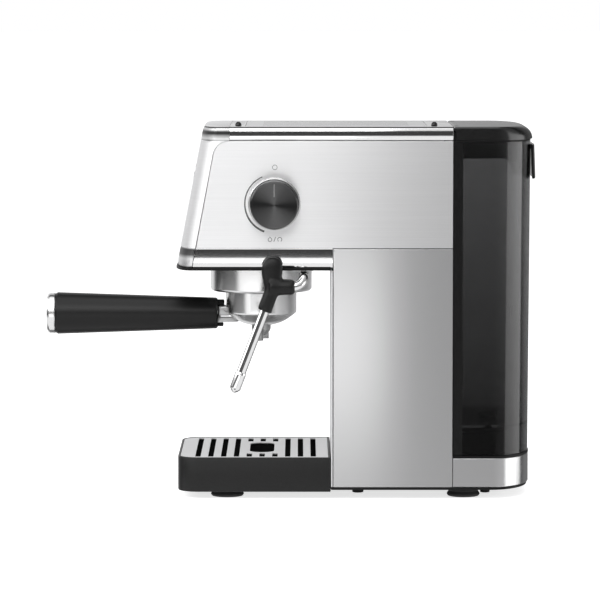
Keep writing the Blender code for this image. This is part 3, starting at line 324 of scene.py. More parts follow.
def mesh_piece(name, points, faces, look):
    """A smooth-shaded object from points in millimetres, with its faces turned outwards.

    A piece without a look is a cutter or a lug, and takes the look of the piece that it shapes.
    """
    mesh = bpy.data.meshes.new(name)
    mesh.from_pydata([tuple(value * MM for value in point) for point in points], [], faces)
    shell = bmesh.new()
    shell.from_mesh(mesh)
    bmesh.ops.remove_doubles(shell, verts=shell.verts, dist=0.001 * MM)
    bmesh.ops.recalc_face_normals(shell, faces=shell.faces)
    shell.to_mesh(mesh)
    shell.free()
    if look:
        mesh.materials.append(LOOKS[look])
    return smooth(in_scene(name, mesh))


def loft(name, sections, look=None):
    """A solid through sections, each a list of the same number of 3-D points."""
    count = len(sections[0])
    points = [point for section in sections for point in section]
    faces = [list(range(count)), [len(points) - count + i for i in range(count)]]
    for level in range(len(sections) - 1):
        start = level * count
        for i in range(count):
            after = (i + 1) % count
            faces.append([start + i, start + after, start + count + after, start + count + i])
    return mesh_piece(name, points, faces, look)


AXIS_PLACE = {
    "X": lambda a, b, level: (level, a, b),
    "Y": lambda a, b, level: (a, level, b),
    "Z": lambda a, b, level: (a, b, level),
}


def prism(name, outline, axis, low, high, look=None):
    """An outline pushed along one axis: X takes (y, z), Y takes (x, z), Z takes (x, y)."""
    place = AXIS_PLACE[axis]
    return loft(name, [[place(a, b, level) for a, b in outline] for level in (low, high)], look)


def arc(centre, size, start, stop, steps):
    """Points on an ellipse from start to stop degrees."""
    points = []
    for i in range(steps + 1):
        angle = radians(start + (stop - start) * i / steps)
        points.append((centre[0] + size[0] * cos(angle), centre[1] + size[1] * sin(angle)))
    return points


def filleted(corners, closed=True, steps=6):
    """An outline whose corners (a, b, radius) are rounded by their radius, if they have one."""
    outline = []
    count = len(corners)
    for i, (a, b, *rest) in enumerate(corners):
        radius = rest[0] if rest else 0
        corner = Vector((a, b))
        if radius <= 0 or (not closed and i in (0, count - 1)):
            outline.append((a, b))
            continue
        before = (Vector(corners[i - 1][:2]) - corner).normalized()
        after = (Vector(corners[(i + 1) % count][:2]) - corner).normalized()
        half = before.angle(after) / 2
        middle = corner + (before + after).normalized() * (radius / sin(half))
        start = corner + before * (radius / tan(half)) - middle
        stop = corner + after * (radius / tan(half)) - middle
        turn = start.angle_signed(stop)
        for k in range(steps + 1):
            spoke = start.copy()
            spoke.rotate(Matrix.Rotation(-turn * k / steps, 2))
            outline.append(tuple(middle + spoke))
    return outline


def rectangle(x, y, radius=0, steps=6):
    corners = ((x[0], y[0]), (x[1], y[0]), (x[1], y[1]), (x[0], y[1]))
    return filleted([(a, b, radius) for a, b in corners], steps=steps)


def block(name, x, y, z, look=None):
    return prism(name, rectangle(x, y), "Z", z[0], z[1], look)


def turned(name, corners, look=None, place=None, segments=96, steps=6):
    """A profile of (radius, height, fillet) turned round Z and moved by place.

    A profile that starts and ends on the axis is solid; any other is a closed ring.
    """
    ring = corners[0][0] > 0
    rows = []
    points = []
    for radius, height in filleted(corners, ring, steps):
        if radius == 0:
            rows.append([len(points)])
            points.append((0, 0, height))
            continue
        rows.append([len(points) + i for i in range(segments)])
        for i in range(segments):
            angle = 2 * pi * i / segments
            points.append((radius * cos(angle), radius * sin(angle), height))
    pairs = list(zip(rows, rows[1:]))
    if ring:
        pairs.append((rows[-1], rows[0]))
    faces = []
    for low, high in pairs:
        for i in range(segments):
            after = (i + 1) % segments
            around = [low[i % len(low)], low[after % len(low)]]
            around += [high[after % len(high)], high[i % len(high)]]
            faces.append(list(dict.fromkeys(around)))
    if place is not None:
        points = [place @ Vector(point) for point in points]
    return mesh_piece(name, points, faces, look)


def dowel(radius, low, high, place=None, segments=32, look=None, name="dowel"):
    """A plain round bar, most often the cutter of a hole."""
    return turned(name, [(0, low), (radius, low), (radius, high), (0, high)], look, place, segments)


X_AXIS, Y_AXIS, FORWARD = (1, 0, 0), (0, 1, 0), (0, -1, 0)


def along(axis, origin):
    """A placement at origin whose Z points along axis."""
    turn = Vector((0, 0, 1)).rotation_difference(Vector(axis).normalized())
    return Matrix.Translation(origin) @ turn.to_matrix().to_4x4()


def at(x, y, z=0):
    return Matrix.Translation((x, y, z))


def smooth_path(knots, steps):
    """Points of a Catmull-Rom curve through the knots."""
    knots = [Vector(knot) for knot in knots]
    ends = [2 * knots[0] - knots[1]] + knots + [2 * knots[-1] - knots[-2]]
    path = []
    for i in range(1, len(ends) - 2):
        before, start, stop, after = ends[i - 1:i + 3]
        for step in range(steps):
            t = step / steps
            path.append(0.5 * (2 * start + (stop - before) * t
                               + (2 * before - 5 * start + 4 * stop - after) * t * t
                               + (3 * start - before - 3 * stop + after) * t ** 3))
    return path + [knots[-1]]


def curve(knots, steps):
    """Points of a Bezier curve with four knots."""
    start, leave, arrive, stop = (Vector(knot) for knot in knots)
    points = []
    for i in range(steps + 1):
        t = i / steps
        u = 1 - t
        points.append(u ** 3 * start + 3 * u * u * t * leave + 3 * u * t * t * arrive + t ** 3 * stop)
    return points


def swept(name, path, radius, look, segments=32):
    """A solid round bar along a path."""
    tangent = (path[1] - path[0]).normalized()
    side = tangent.orthogonal().normalized()
    angles = [2 * pi * k / segments for k in range(segments)]
    sections = []
    for i, point in enumerate(path):
        ahead = (path[min(i + 1, len(path) - 1)] - path[max(i - 1, 0)]).normalized()
        side = tangent.rotation_difference(ahead) @ side
        tangent = ahead
        other = tangent.cross(side)
        sections.append([point + radius * (cos(a) * side + sin(a) * other) for a in angles])
    return loft(name, sections, look)


def modify(obj, kind, **settings):
    modifier = obj.modifiers.new(kind.lower(), kind)
    for key, value in settings.items():
        setattr(modifier, key, value)
    return obj


def applied(obj):
    """Make what the modifiers give the object's own mesh."""
    graph = bpy.context.evaluated_depsgraph_get()
    shaped = bpy.data.meshes.new_from_object(obj.evaluated_get(graph))
    obj.modifiers.clear()
    obj.data = shaped
    return obj


def combine(target, others, operation):
    """Cut target by the others or join them to it; the others are used up."""
    for other in others:
        if not other.data.materials:
            other.data.materials.append(target.data.materials[0])
        modify(target, "BOOLEAN", operation=operation, object=other, material_mode="TRANSFER")
    applied(target)
    for other in others:
        bpy.data.objects.remove(other)
    return smooth(target)


def cut(target, *others):
    return combine(target, others, "DIFFERENCE")


def join(target, *others):
    return combine(target, others, "UNION")


def merged(pieces):
    """The first piece with the meshes of all of them, side by side."""
    sheet = bmesh.new()
    for piece in pieces:
        sheet.from_mesh(piece.data)
    sheet.to_mesh(pieces[0].data)
    sheet.free()
    for piece in pieces[1:]:
        bpy.data.objects.remove(piece)
    return pieces[0]


def soften(obj, width, segments=3, angle=28):
    """Round the edges by a bevel, keeping flat faces flat in the shading."""
    return modify(obj, "BEVEL", width=width * MM, segments=segments, limit_method="ANGLE",
                  angle_limit=radians(angle), harden_normals=True, miter_outer="MITER_ARC")


def recolour(obj, look, test):
    """Give a look to the faces that pass a test of their centre, in millimetres, and normal."""
    obj.data.materials.append(LOOKS[look])
    for face in obj.data.polygons:
        if test(face.center / MM, face.normal):
            face.material_index = len(obj.data.materials) - 1
    return obj


def extra(obj, node):
    """Move a piece from the drawing's axis to the frame, to ride along with a CAD node's body."""
    obj.data.transform(Matrix.Translation(ORIGIN))
    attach(obj, BODY_OF[node])


def stand_in(obj, node):
    """Move a piece to the frame, and let it stand for its CAD node there."""
    extra(obj, node)
    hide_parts(node)


# ---- outlines shared by the pieces
SIDES = ((-1, "left"), (1, "right"))
GAP = 0.3
SHEET = 1.2
CROWN = 1.3
LEAN = 0.193                     # the fascia leans back by this much for each unit of height
SEAM_LEAN = 0.186
SEAM_CORNER = 13.6
REAR_CORNER = (52, 33)
FRONT_CORNER = (36, 13)
RAIL_DEPTH = 3.2
LOW_PINCH = (1.5, 0.25)          # the lower band stands nearly upright and rolls in at its foot
NEAR = 0.01                      # tolerance when faces are picked by where they are

FASCIA = Extent("front_fascia")
COVER = Extent("top_cover")
TANK = Extent("water_tank")
LID = Extent("tank_lid")
PANEL = Extent("head_side_panel_right")
HALF = COVER.x1


def front_y(z):
    return FASCIA.y0 + LEAN * (z - FASCIA.z0)


def seam_y(z):
    """Front edge of the head's side panels and rails."""
    return PANEL.y0 + SEAM_LEAN * (z - PANEL.z0)


def mirrored(points):
    """The other half of a symmetric outline, from its end back to its start."""
    return [(-x, y) for x, y in reversed(points)]


def band_levels(low, high, count):
    """Heights across a crowned band, closer together where it curves most."""
    middle, reach = (low + high) / 2, (high - low) / 2
    return [middle - reach * cos(pi * i / count) for i in range(count + 1)]


def round_off(part):
    """How far a quarter circle of radius 1 has drawn in at this share of its height."""
    return 1 - sqrt(max(1 - part * part, 0))


def crowned(z, low, high, pinch):
    """How far a crowned band between two heights is drawn in; its lower half by the pinch."""
    part = 2 * (z - low) / (high - low) - 1
    return CROWN * round_off(part) * (pinch[1] if part > 0 else pinch[0])


def front_outline(z, half, rear, inset=0, steps=18):
    """Plan of the head at height z: flat middle and bowed corners in front, square behind."""
    size = (FRONT_CORNER[0] - inset, FRONT_CORNER[1] - inset)
    left = arc((-(half - inset - size[0]), front_y(z) + FRONT_CORNER[1]), size, 180, 270, steps)
    return left + mirrored(left) + [(half - inset, rear), (-(half - inset), rear)]


def rear_outline(half, front, rear, inset=0, steps=18):
    """Plan of the tank, lid and base: square in front, elliptical corners at the rear."""
    half, front, rear = half - inset, front + inset, rear - inset
    size = (REAR_CORNER[0] - inset, REAR_CORNER[1] - inset)
    right = arc((half - size[0], rear - size[1]), size, 0, 90, steps)
    return [(-half, front), (half, front)] + right + mirrored(right)


def at_height(outline, z):
    return [(x, y, z) for x, y in outline]


def top_band(low, high, rest):
    """Levels and insets of the upper polished band: a crown, a fine groove, and a lip."""
    crown_top = high - 0.95
    rows = [(z, crowned(z, low, crown_top, (rest, 0.72))) for z in band_levels(low, crown_top, 20)]
    return rows + [(crown_top + 0.3, 1.5), (crown_top + 0.45, 0.75), (high - 0.3, 0.7), (high - 0.08, 0.85),
                   (high, 1.15)]


# ---- base, feet, column
BOSS_LOW = 2.7
BOSSES = ((-50, 80.6, 4.7), (-50, 186, 4), (50, 80.6, 4.7), (50, 186, 4), (0, -5, 8))


def base_and_feet():
    base, skirt = Extent("base_plate"), Extent("tank_skirt")
    low, high = base.z1 - 3, skirt.z0 - GAP
    plan = rear_outline(base.x1, Extent("column_front_panel").y0, base.y1)
    plate = soften(prism("base_pan", plan, "Z", low, high, "satin_black"), 0.5)
    tongue = soften(block("base_tongue", (-66, 66), (base.y0, 70), (low, base.z1)), 0.4)
    for x, y, radius in BOSSES:
        corners = [(0, BOSS_LOW), (radius, BOSS_LOW, 0.8), (radius, high - 0.4), (0, high - 0.4)]
        join(plate, turned("boss", corners, None, at(x, y), 32))
    stand_in(join(plate, tongue), "base_plate")
    for node in ("foot_front_left", "foot_front_right", "foot_rear_left", "foot_rear_right"):
        box = Extent(node)
        radius, top = box.half_x, low - GAP
        corners = [(0, 0.6), (radius - 5, 0.6, 0.3), (radius - 4.4, 0, 0.2), (radius - 1.2, 0, 1),
                   (radius, 1.7, 1.2), (radius - 1.2, 3.6, 0.8), (radius - 1.7, 4.4, 0.35),
                   (radius - 1.3, 5, 0.35), (radius - 1.7, top, 0.4), (0, top)]
        stand_in(turned(node + "_rubber", corners, "rubber", at(box.x, box.y), 64, 4), node)


def column():
    front = Extent("column_front_panel")
    panel = block("column_front_sheet", (front.x0, front.x1), (front.y0, front.y1), (front.z0, front.z1),
                  "front_steel")
    stand_in(soften(panel, 0.35), "column_front_panel")
    for side, label in SIDES:
        node = "column_side_panel_" + label
        box = Extent(node)
        outer, inner = (box.x1, box.x0) if side > 0 else (box.x0, box.x1)
        fold = outer - side * 3.4
        plan = filleted([(outer, box.y1), (outer, box.y0, 1.25), (fold, box.y0), (fold, box.y0 + SHEET),
                         (inner, box.y0 + SHEET, 0.2), (inner, box.y1)], steps=8)
        sheet = prism("column_side_sheet_" + label, plan, "Z", box.z0, box.z1 - 0.35, "column_steel")
        stand_in(soften(sheet, 0.2, 2, 50), node)


# ---- head
BUTTONS = ("button_power", "button_one_cup", "button_two_cups", "button_steam")
BUTTON_R = 7
BUTTON_Z = 268
BUTTON_PROUD = 0.35


def head_sides():
    for side, label in SIDES:
        box = Extent("head_side_panel_" + label)
        outline = filleted([(box.y0, box.z0), (seam_y(box.z1), box.z1, SEAM_CORNER), (box.y1, box.z1),
                            (box.y1, box.z0)], steps=24)
        sheet = prism("head_side_sheet_" + label, outline, "X", box.x0, box.x1, "side_steel")
        if side > 0:
            spindle = Extent("knob_spindle")
            cut(sheet, dowel(spindle.half_z + GAP, box.x0 - 1, box.x1 + 1,
                             along(X_AXIS, (0, spindle.y, spindle.z))))
        stand_in(soften(sheet, 0.25, 2), "head_side_panel_" + label)
        rail = Extent("lower_rail_" + label)
        low, high = rail.z0, rail.z1
        section = [(HALF - crowned(z, low, high, LOW_PINCH), z) for z in band_levels(low, high, 24)]
        section += [(HALF - RAIL_DEPTH, high), (HALF - RAIL_DEPTH, low)]
        ends = [[(side * x, y(z), z) for x, z in section] for y in (seam_y, lambda z: rail.y1)]
        bar = loft("lower_rail_bar_" + label, ends, "polished")
        stand_in(soften(bar, 0.25, 2, 60), "lower_rail_" + label)


def fascia():
    low_top, high_low = PANEL.z0, PANEL.z1
    groove, wall, rear = 0.5, 2.2, -10
    levels = [(z, crowned(z, FASCIA.z0, low_top, LOW_PINCH)) for z in band_levels(FASCIA.z0, low_top, 16)]
    flat = [low_top + (high_low - low_top) * i / 6 for i in range(1, 6)]
    levels += [(z, 0) for z in (low_top + groove, *flat, high_low - groove)]
    levels += top_band(high_low, FASCIA.z1, 0.4)
    shell = loft("fascia_shell", [at_height(front_outline(z, HALF, rear, inset), z) for z, inset in levels],
                 "front_steel")
    hollow = loft("hollow", [at_height(front_outline(z, HALF, rear + 1, wall), z)
                             for z in (FASCIA.z0 - 1, FASCIA.z1 - wall)])
    top_y, foot, beyond = COVER.y0 - GAP / 2, FASCIA.z0 - 5, 400
    line = filleted([(seam_y(foot) - 2 * GAP, foot),
                     (seam_y(high_low) - GAP, high_low + GAP, SEAM_CORNER + 2 * GAP),
                     (top_y, high_low + GAP), (top_y, beyond)], closed=False, steps=24)
    back = prism("back", line + [(100, beyond), (100, foot)], "X", -100, 100)
    holes = [dowel(BUTTON_R + GAP, -6, 6, button_place(node), 48) for node in BUTTONS]
    # The crowned bands get the painted reflections; the flat middle keeps its brushed steel.
    shaped = recolour(cut(shell, hollow, back, *holes), "fascia_painted_reflections", lambda spot, normal: (
        normal.z < 0.9 and not low_top - NEAR < spot.z < high_low + NEAR))
    stand_in(soften(shaped, 0.2, 2, 40), "front_fascia")


def button_place(node):
    return along((0, -1, LEAN), (Extent(node).x, front_y(BUTTON_Z), BUTTON_Z))


def buttons():
    """Polished caps with a dished black face and a plain mark each."""
    top = BUTTON_PROUD
    dish = [(r, top - 0.25 - 0.35 * (1 - (r / 5) ** 2)) for r in (5, 4, 3, 2, 1)]
    cap = [(0, -5), (6, -5), (6, -3.8), (8.4, -3.8), (8.4, -2.6), (BUTTON_R, -2.6), (BUTTON_R, top, 0.7),
           (5.6, top, 0.2), (5.3, top - 0.3)] + dish + [(0, top - 0.6)]
    face = [(0, top - 0.55)] + [(r, z + 0.02) for r, z in dish[::-1]] + [(5, top - 0.12)]
    face += [(r * 0.99, z + 0.14) for r, z in dish] + [(0, top - 0.46)]
    for node in BUTTONS:
        place = button_place(node)
        stand_in(turned(node + "_cap", cap, "polished", place, 64, 4), node)
        extra(turned(node + "_face", face, "gloss_black", place, 64), node)
        extra(button_mark(node, place @ at(0, 0, top - 0.44)), node)


def strip(name, path, width, thick, look, place, closed=False):
    """A flat printed line along a 2-D path, lying in place's XY plane."""
    path = [Vector(point) for point in path]
    count = len(path)
    points = []
    for i, point in enumerate(path):
        before = path[i - 1] if closed or i else path[0]
        after = path[(i + 1) % count] if closed or i < count - 1 else path[-1]
        heading = (after - before).normalized()
        across = Vector((-heading.y, heading.x)) * (width[i] if isinstance(width, list) else width) / 2
        for side, level in ((1, 0), (1, thick), (-1, thick), (-1, 0)):
            points.append(place @ Vector((*(point + across * side), level)))
    faces = []
    for i in range(count if closed else count - 1):
        start, stop = 4 * i, 4 * ((i + 1) % count)
        for k in range(4):
            faces.append([start + k, start + (k + 1) % 4, stop + (k + 1) % 4, stop + k])
    if not closed:
        faces += [[0, 1, 2, 3], [4 * count - 4 + k for k in range(4)]]
    return mesh_piece(name, points, faces, look)


def circle(centre, radius, steps, start=0, stop=360):
    ring = arc(centre, (radius, radius), start, stop, steps)
    return ring[:-1] if stop - start == 360 else ring


def drop(x, tip, middle, radius, open_by, steps):
    """A pointed drop."""
    return [(x, tip)] + circle((x, middle), radius, steps, open_by, -180 - open_by)


def button_mark(node, place):
    """Ring and bar, one drop, two drops, or a wave: plain marks for what the button does."""
    def line(path, closed=False, name=node + "_mark"):
        return strip(name, path, 0.45, 0.06, "mark", place, closed)

    def one_drop(x):
        return drop(x, 2, -0.4, 1.1, 30, 14)

    if node == "button_power":
        return join(line(circle((0, 0), 1.7, 20, -240, 60)), line([(0, 0.7), (0, 2.4)], name="bar"))
    if node == "button_one_cup":
        return line(one_drop(0), True)
    if node == "button_two_cups":
        return join(line(one_drop(-1.5), True), line(one_drop(1.5), True, "second"))
    return line([(x / 5 - 2, 0.7 * sin(x * 0.628)) for x in range(21)])


def rounded_slot(half, width, steps=8):
    radius = width / 2
    right = arc((half - radius, 0), (radius, radius), -90, 90, steps)
    return right + arc((radius - half, 0), (radius, radius), 90, 270, steps)


def top():
    """Cover with its two crowned rails, the cup plate let into it, and its black pins."""
    right = [(HALF - inset, z) for z, inset in top_band(COVER.z0, COVER.z1, 1)]
    inner, ceiling = HALF - RAIL_DEPTH, COVER.z1 - 2.2
    whole = right + mirrored(right)
    whole += [(-inner, COVER.z0), (-inner, ceiling), (inner, ceiling), (inner, COVER.z0)]
    cover = prism("top_shell", whole, "Y", COVER.y0, COVER.y1, "polished")
    plate = Extent("cup_plate")
    corner = 6
    pocket = rectangle((plate.x0 - GAP, plate.x1 + GAP), (plate.y0 - GAP, plate.y1 + GAP), corner, 10)
    # The pocket leaves the rubber's black on its walls: painted shade in the gap round the cup plate.
    cut(cover, prism("pocket", pocket, "Z", plate.z0 - GAP, COVER.z1 + 1, "rubber"))
    # The fine groove and lip along the top of each rail are painted dark: painted shade in the groove.
    recolour(cover, "graphite_and_painted_shade", lambda spot, normal: (
        abs(spot.x) > HALF - 1.55 and spot.z > COVER.z1 - 0.93 and abs(normal.y) < 0.5))
    stand_in(soften(cover, 0.25, 2, 50), "top_cover")
    outline = rectangle((plate.x0, plate.x1), (plate.y0, plate.y1), corner - GAP, 10)
    sheet = prism("cup_sheet", outline, "Z", plate.z0, plate.z1, "top_steel")
    slots = []
    half = (plate.y1 - plate.y0) / 2 - 14
    for row in range(1, 10):
        x = plate.x0 + (plate.x1 - plate.x0) * row / 10
        outline = [(x + b, plate.y + a) for a, b in rounded_slot(half, 1.4)]
        # Each slot leaves the rubber's black on its walls and floor: painted shade in the slots.
        slots.append(prism("slot", outline, "Z", plate.z0 + 0.4, plate.z1 + 1, "rubber"))
    stand_in(soften(cut(sheet, *slots), 0.2, 2, 40), "cup_plate")
    for node in ("top_pin_front", "top_pin_rear"):
        pin = Extent(node)
        radius, base = pin.half_x, COVER.z1 + 0.02
        dome = arc((0, base + 0.5), (radius, pin.z1 - base - 0.5), 0, 90, 12)
        profile = [(0, base), (radius - 0.2, base), (radius, base + 0.2)] + dome[:-1] + [(0, pin.z1)]
        stand_in(turned(node + "_cap", profile, "gloss_black", at(pin.x, pin.y), 48), node)


def head_bottom():
    box, bush = Extent("head_bottom_plate"), Extent("wand_bush")
    plate = prism("head_floor", front_outline(box.z0, box.x1, box.y1), "Z", box.z0, box.z1, "satin_black")
    cut(plate, dowel(30.4, 100, 300, None, 48), dowel(7.6, 100, 300, at(bush.x, bush.y), 48))
    stand_in(soften(plate, 0.4, 2, 40), "head_bottom_plate")


# ---- brewing group
def group():
    box = Extent("group_collar")
    radius, bore, lip, low, top = box.x1, 37.6, 31.6, box.z0, box.z1
    ledge = low + 2.6
    profile = [(lip, low, 0.3), (radius - 1.6, low, 0.6), (radius, low + 1.6, 1.6), (radius, top),
               (bore, top), (bore, ledge, 0.3), (lip, ledge, 0.3)]
    collar = turned("collar_ring", profile, "satin_chrome", None, 128)
    gate = block("gate", (-36.6, 36.6), (-10, 10), (low - 1, ledge + 1))
    gate.data.transform(Matrix.Rotation(radians(-45), 4, "Z"))
    stand_in(cut(collar, gate), "group_collar")
    screen = Extent("shower_screen")
    disc = turned("shower_disc", rectangle((1.9, screen.x1), (screen.z0, screen.z1)), "side_steel")
    holes = []
    for ring, count in ((7, 10), (11.5, 16), (16, 22), (20.5, 28)):
        for x, y in circle((0, 0), ring, count):
            holes.append(dowel(0.55, screen.z0 - 1, screen.z1 + 1, at(x, y), 8, "side_steel"))
    stand_in(cut(disc, merged(holes)), "shower_screen")


# ---- portafilter
BREW_Z = 147.5
GRIP = Extent("handle_grip")


def portafilter():
    body = Extent("portafilter_body")
    radius, bore, outlet = 29.6, 26.7, 3
    low, top, floor, shoulder = body.z0, body.z1, 149.2, 147.6
    outside = [(outlet, low), (9, low, 1), (19, low + 2.6, 30), (27.3, shoulder - 1, 6),
               (radius, shoulder + 0.9, 2), (radius, top - 0.01), (radius - 0.4, top)]
    inside = [(bore + 0.3, top), (bore, top - 0.3), (bore, floor, 1.5), (outlet, floor)]
    bowl = turned("portafilter_cup", outside + inside, "satin_chrome", None, 128, 8)
    ears = soften(block("ears", (body.x0, body.x1), (-9, 9), (169.9, top - 0.4)), 0.5)
    neck_front = GRIP.y1 + GAP
    neck = soften(block("neck", (-6.6, 6.6), (neck_front, -26), (145.7, 154), "neck_steel"), 1.6, 4)
    plan = filleted([(-5.2, neck_front - 0.6), (5.2, neck_front - 0.6), (5.2, -18.6, 5), (-5.2, -18.6, 5)],
                    steps=8)
    web = soften(prism("web", plan, "Z", 140.4, 144.2, "neck_steel"), 0.8, 3, 60)
    join(bowl, ears, neck, web, dowel(4.3, 34, 72, along(FORWARD, (0, 0, BREW_Z)), look="chrome"))
    stand_in(cut(bowl, dowel(bore, floor, top + 1, None, 128)), "portafilter_body")
    step = block("handle_step", (-4, 4), (neck_front - 1, neck_front + 4.6), (136.6, 139.5), "satin_black")
    extra(soften(step, 0.7), "handle_grip")
    stub = turned("handle_stub", [(0, -0.5), (3.4, -0.5), (3.4, 5.4, 0.8), (0, 5.4)], "satin_black",
                  along(Y_AXIS, (0, neck_front, 155.6)), 32)
    extra(stub, "handle_grip")


def basket():
    box = Extent("filter_basket")
    skin, wall, flange, floor, top = 0.6, 26.2, box.x1, box.z0, box.z1
    profile = [(0, floor), (wall - 1.2, floor, 1.4), (wall, floor + 3, 2), (wall, top - 0.9, 0.3),
               (flange, top - 0.9, 0.3), (flange, top, 0.4), (wall - skin, top, 0.5),
               (wall - skin, floor + 3, 1.6), (wall - 1.2 - skin, floor + skin, 1), (0, floor + skin)]
    stand_in(turned("basket_cup", profile, "side_steel", steps=5), "filter_basket")


def spout():
    """Boss under the bowl with two curved arms ending in upright mouths."""
    box = Extent("twin_spout")
    low, top, reach = box.z0, box.z1, 10
    boss = turned("spout_boss", [(0, 131.5), (6.6, 131.5, 1.5), (8, 134.5, 3), (8, top), (0, top)],
                  "neck_steel", None, 64)
    arms, bores = [], []
    for side in (-1, 1):
        knots = ((0, 134.6), (5, 133.6), (8.6, 131.4), (reach, 128.8), (reach, low))
        arms.append(swept("arm", smooth_path([(side * x, 0, z) for x, z in knots], 5), 4.1, "neck_steel"))
        # Each bore leaves satin black on its walls: painted shade in the spout's mouth.
        bore = [(0, low - 1), (2.9, low - 1), (2.7, low + 4), (0, low + 4)]
        bores.append(turned("bore", bore, "satin_black", at(side * reach, 0), 32))
    cut(join(boss, *arms), *bores)
    boss.data.transform(Matrix.Rotation(radians(-13), 4, "Z"))
    stand_in(boss, "twin_spout")


def handle():
    cap = Extent("handle_cap")
    toward = along(FORWARD, (0, 0, BREW_Z))
    start, end = -GRIP.y1, -GRIP.y0
    slim, wide, bore = 13, GRIP.x1, 4.6
    profile = [(0, 73), (bore, 73), (bore, start), (slim - 1, start, 0.3), (slim, start + 1.2, 1),
               (wide, end - 1.5, 1.2), (wide - 0.9, end, 0.3), (0, end)]
    stand_in(turned("grip_sleeve", profile, "grip_black", toward, 128), "handle_grip")
    radius, stop = cap.x1, -cap.y0
    rim = [(0, end + GAP), (radius - 0.6, end + GAP, 0.3), (radius, end + 1.2, 0.5),
           (radius, stop - 2, 1.6), (radius - 1.6, stop, 0.5), (radius - 2.6, stop, 0.2),
           (radius - 3, stop - 0.5, 0.2), (0, stop - 0.5)]
    stand_in(turned("grip_cap", rim, "satin_chrome", toward, 128), "handle_cap")


# ---- steam knob and its marks
def knob():
    box, ring = Extent("steam_knob"), Extent("knob_ring")
    axis = along(X_AXIS, (0, box.y, box.z))
    radius, face, back, bore = box.half_z, box.x1, box.x0, 3.3
    level = face - 0.12
    profile = [(0, 88), (bore, 88), (bore, back), (radius - 0.8, back, 0.3), (radius, back + 0.8, 0.6),
               (radius, face - 0.9, 0.3), (radius - 0.9, face, 0.2), (radius - 1.4, level, 0.1), (0, level)]
    stand_in(turned("knob_cap", profile, "spun", axis, 160, 5), "steam_knob")
    line = rectangle((-0.32, 0.32), (0.34 * radius, 0.88 * radius), 0.3, 4)
    line = [(box.y + a, box.z + b) for a, b in line]
    extra(prism("knob_pointer", line, "X", level - 0.1, level + 0.1, "pointer"), "steam_knob")
    wide, foot, rise = ring.half_z, ring.x0, ring.x1
    bezel = [(5, foot), (wide, foot), (wide, rise, 1.2), (wide - 1.6, rise, 0.5),
             (wide - 2.2, rise - 0.6, 0.3), (5, rise - 0.6)]
    stand_in(turned("knob_band", bezel, "bezel", axis, 160), "knob_ring")


def panel_marks():
    """Tapering arc for the opening range, a ring for shut; drop, slash and open ring for open."""
    box = Extent("steam_knob")
    on_panel = at(PANEL.x1, box.y, box.z) @ Matrix(((0, 0, 1, 0), (1, 0, 0, 0), (0, 1, 0, 0), (0, 0, 0, 1)))
    steps, low = 64, -29.2

    def line(name, path, closed=False, width=0.42):
        return strip(name, path, width, 0.05, "ink", on_panel, closed)

    widths = [0.7 + 0.9 * i / steps for i in range(steps + 1)]
    marks = [line("steam_range_arc", circle((0, 0), 24.2, steps, 114, 250), width=widths),
             line("shut_mark", circle((0.4, 29.9), 1.9, 28), True),
             line("water_mark", drop(-3.6, low + 2.1, low - 0.3, 1.5, 35, 20), True),
             line("slash_mark", [(-0.5, low - 1.9), (1.1, low + 2.1)]),
             line("steam_mark", circle((4.4, low), 1.7, 24, -60, 240))]
    extra(merged(marks), "head_side_panel_right")


# ---- steam wand
TUBE_LEAN = radians(21)
ARM_Z = 176
ARM_R = 6.2
PIPE_R = 4
WAND = Extent("wand_grip")
TUBE_TOP = Vector((WAND.x, 10, 172.5))
TUBE_AXIS = along((0, -sin(TUBE_LEAN), -cos(TUBE_LEAN)), TUBE_TOP)


def wand():
    elbow, bush = Extent("wand_elbow"), Extent("wand_bush")
    run, x, y = 182.9, bush.x, bush.y
    path = [Vector((x, y, elbow.z1))]
    path += curve([(x, y, 190), (x, y, 185), (x + 2, y, run), (x + 8.5, y, run)], 14)
    path += curve([(WAND.x - 13.5, y, run), (WAND.x - 3, y, run), (WAND.x, y - 1, ARM_Z),
                   (WAND.x, y - 11, ARM_Z)], 20)
    path.append(Vector((WAND.x, 23, ARM_Z)))
    stand_in(swept("wand_pipe", path, PIPE_R, "chrome"), "wand_elbow")
    flange, bore, wide_bore = bush.half_x, PIPE_R + GAP, PIPE_R + 3 * GAP
    collar = [(wide_bore, bush.z0, 0.3), (flange - 1, bush.z0, 0.6), (flange, 188.4, 0.2), (7.2, 188.4),
              (7.2, bush.z1), (bore, bush.z1), (bore, 190.6), (wide_bore, 190)]
    stand_in(turned("wand_collar", collar, "satin_chrome", at(x, y), 64), "wand_bush")


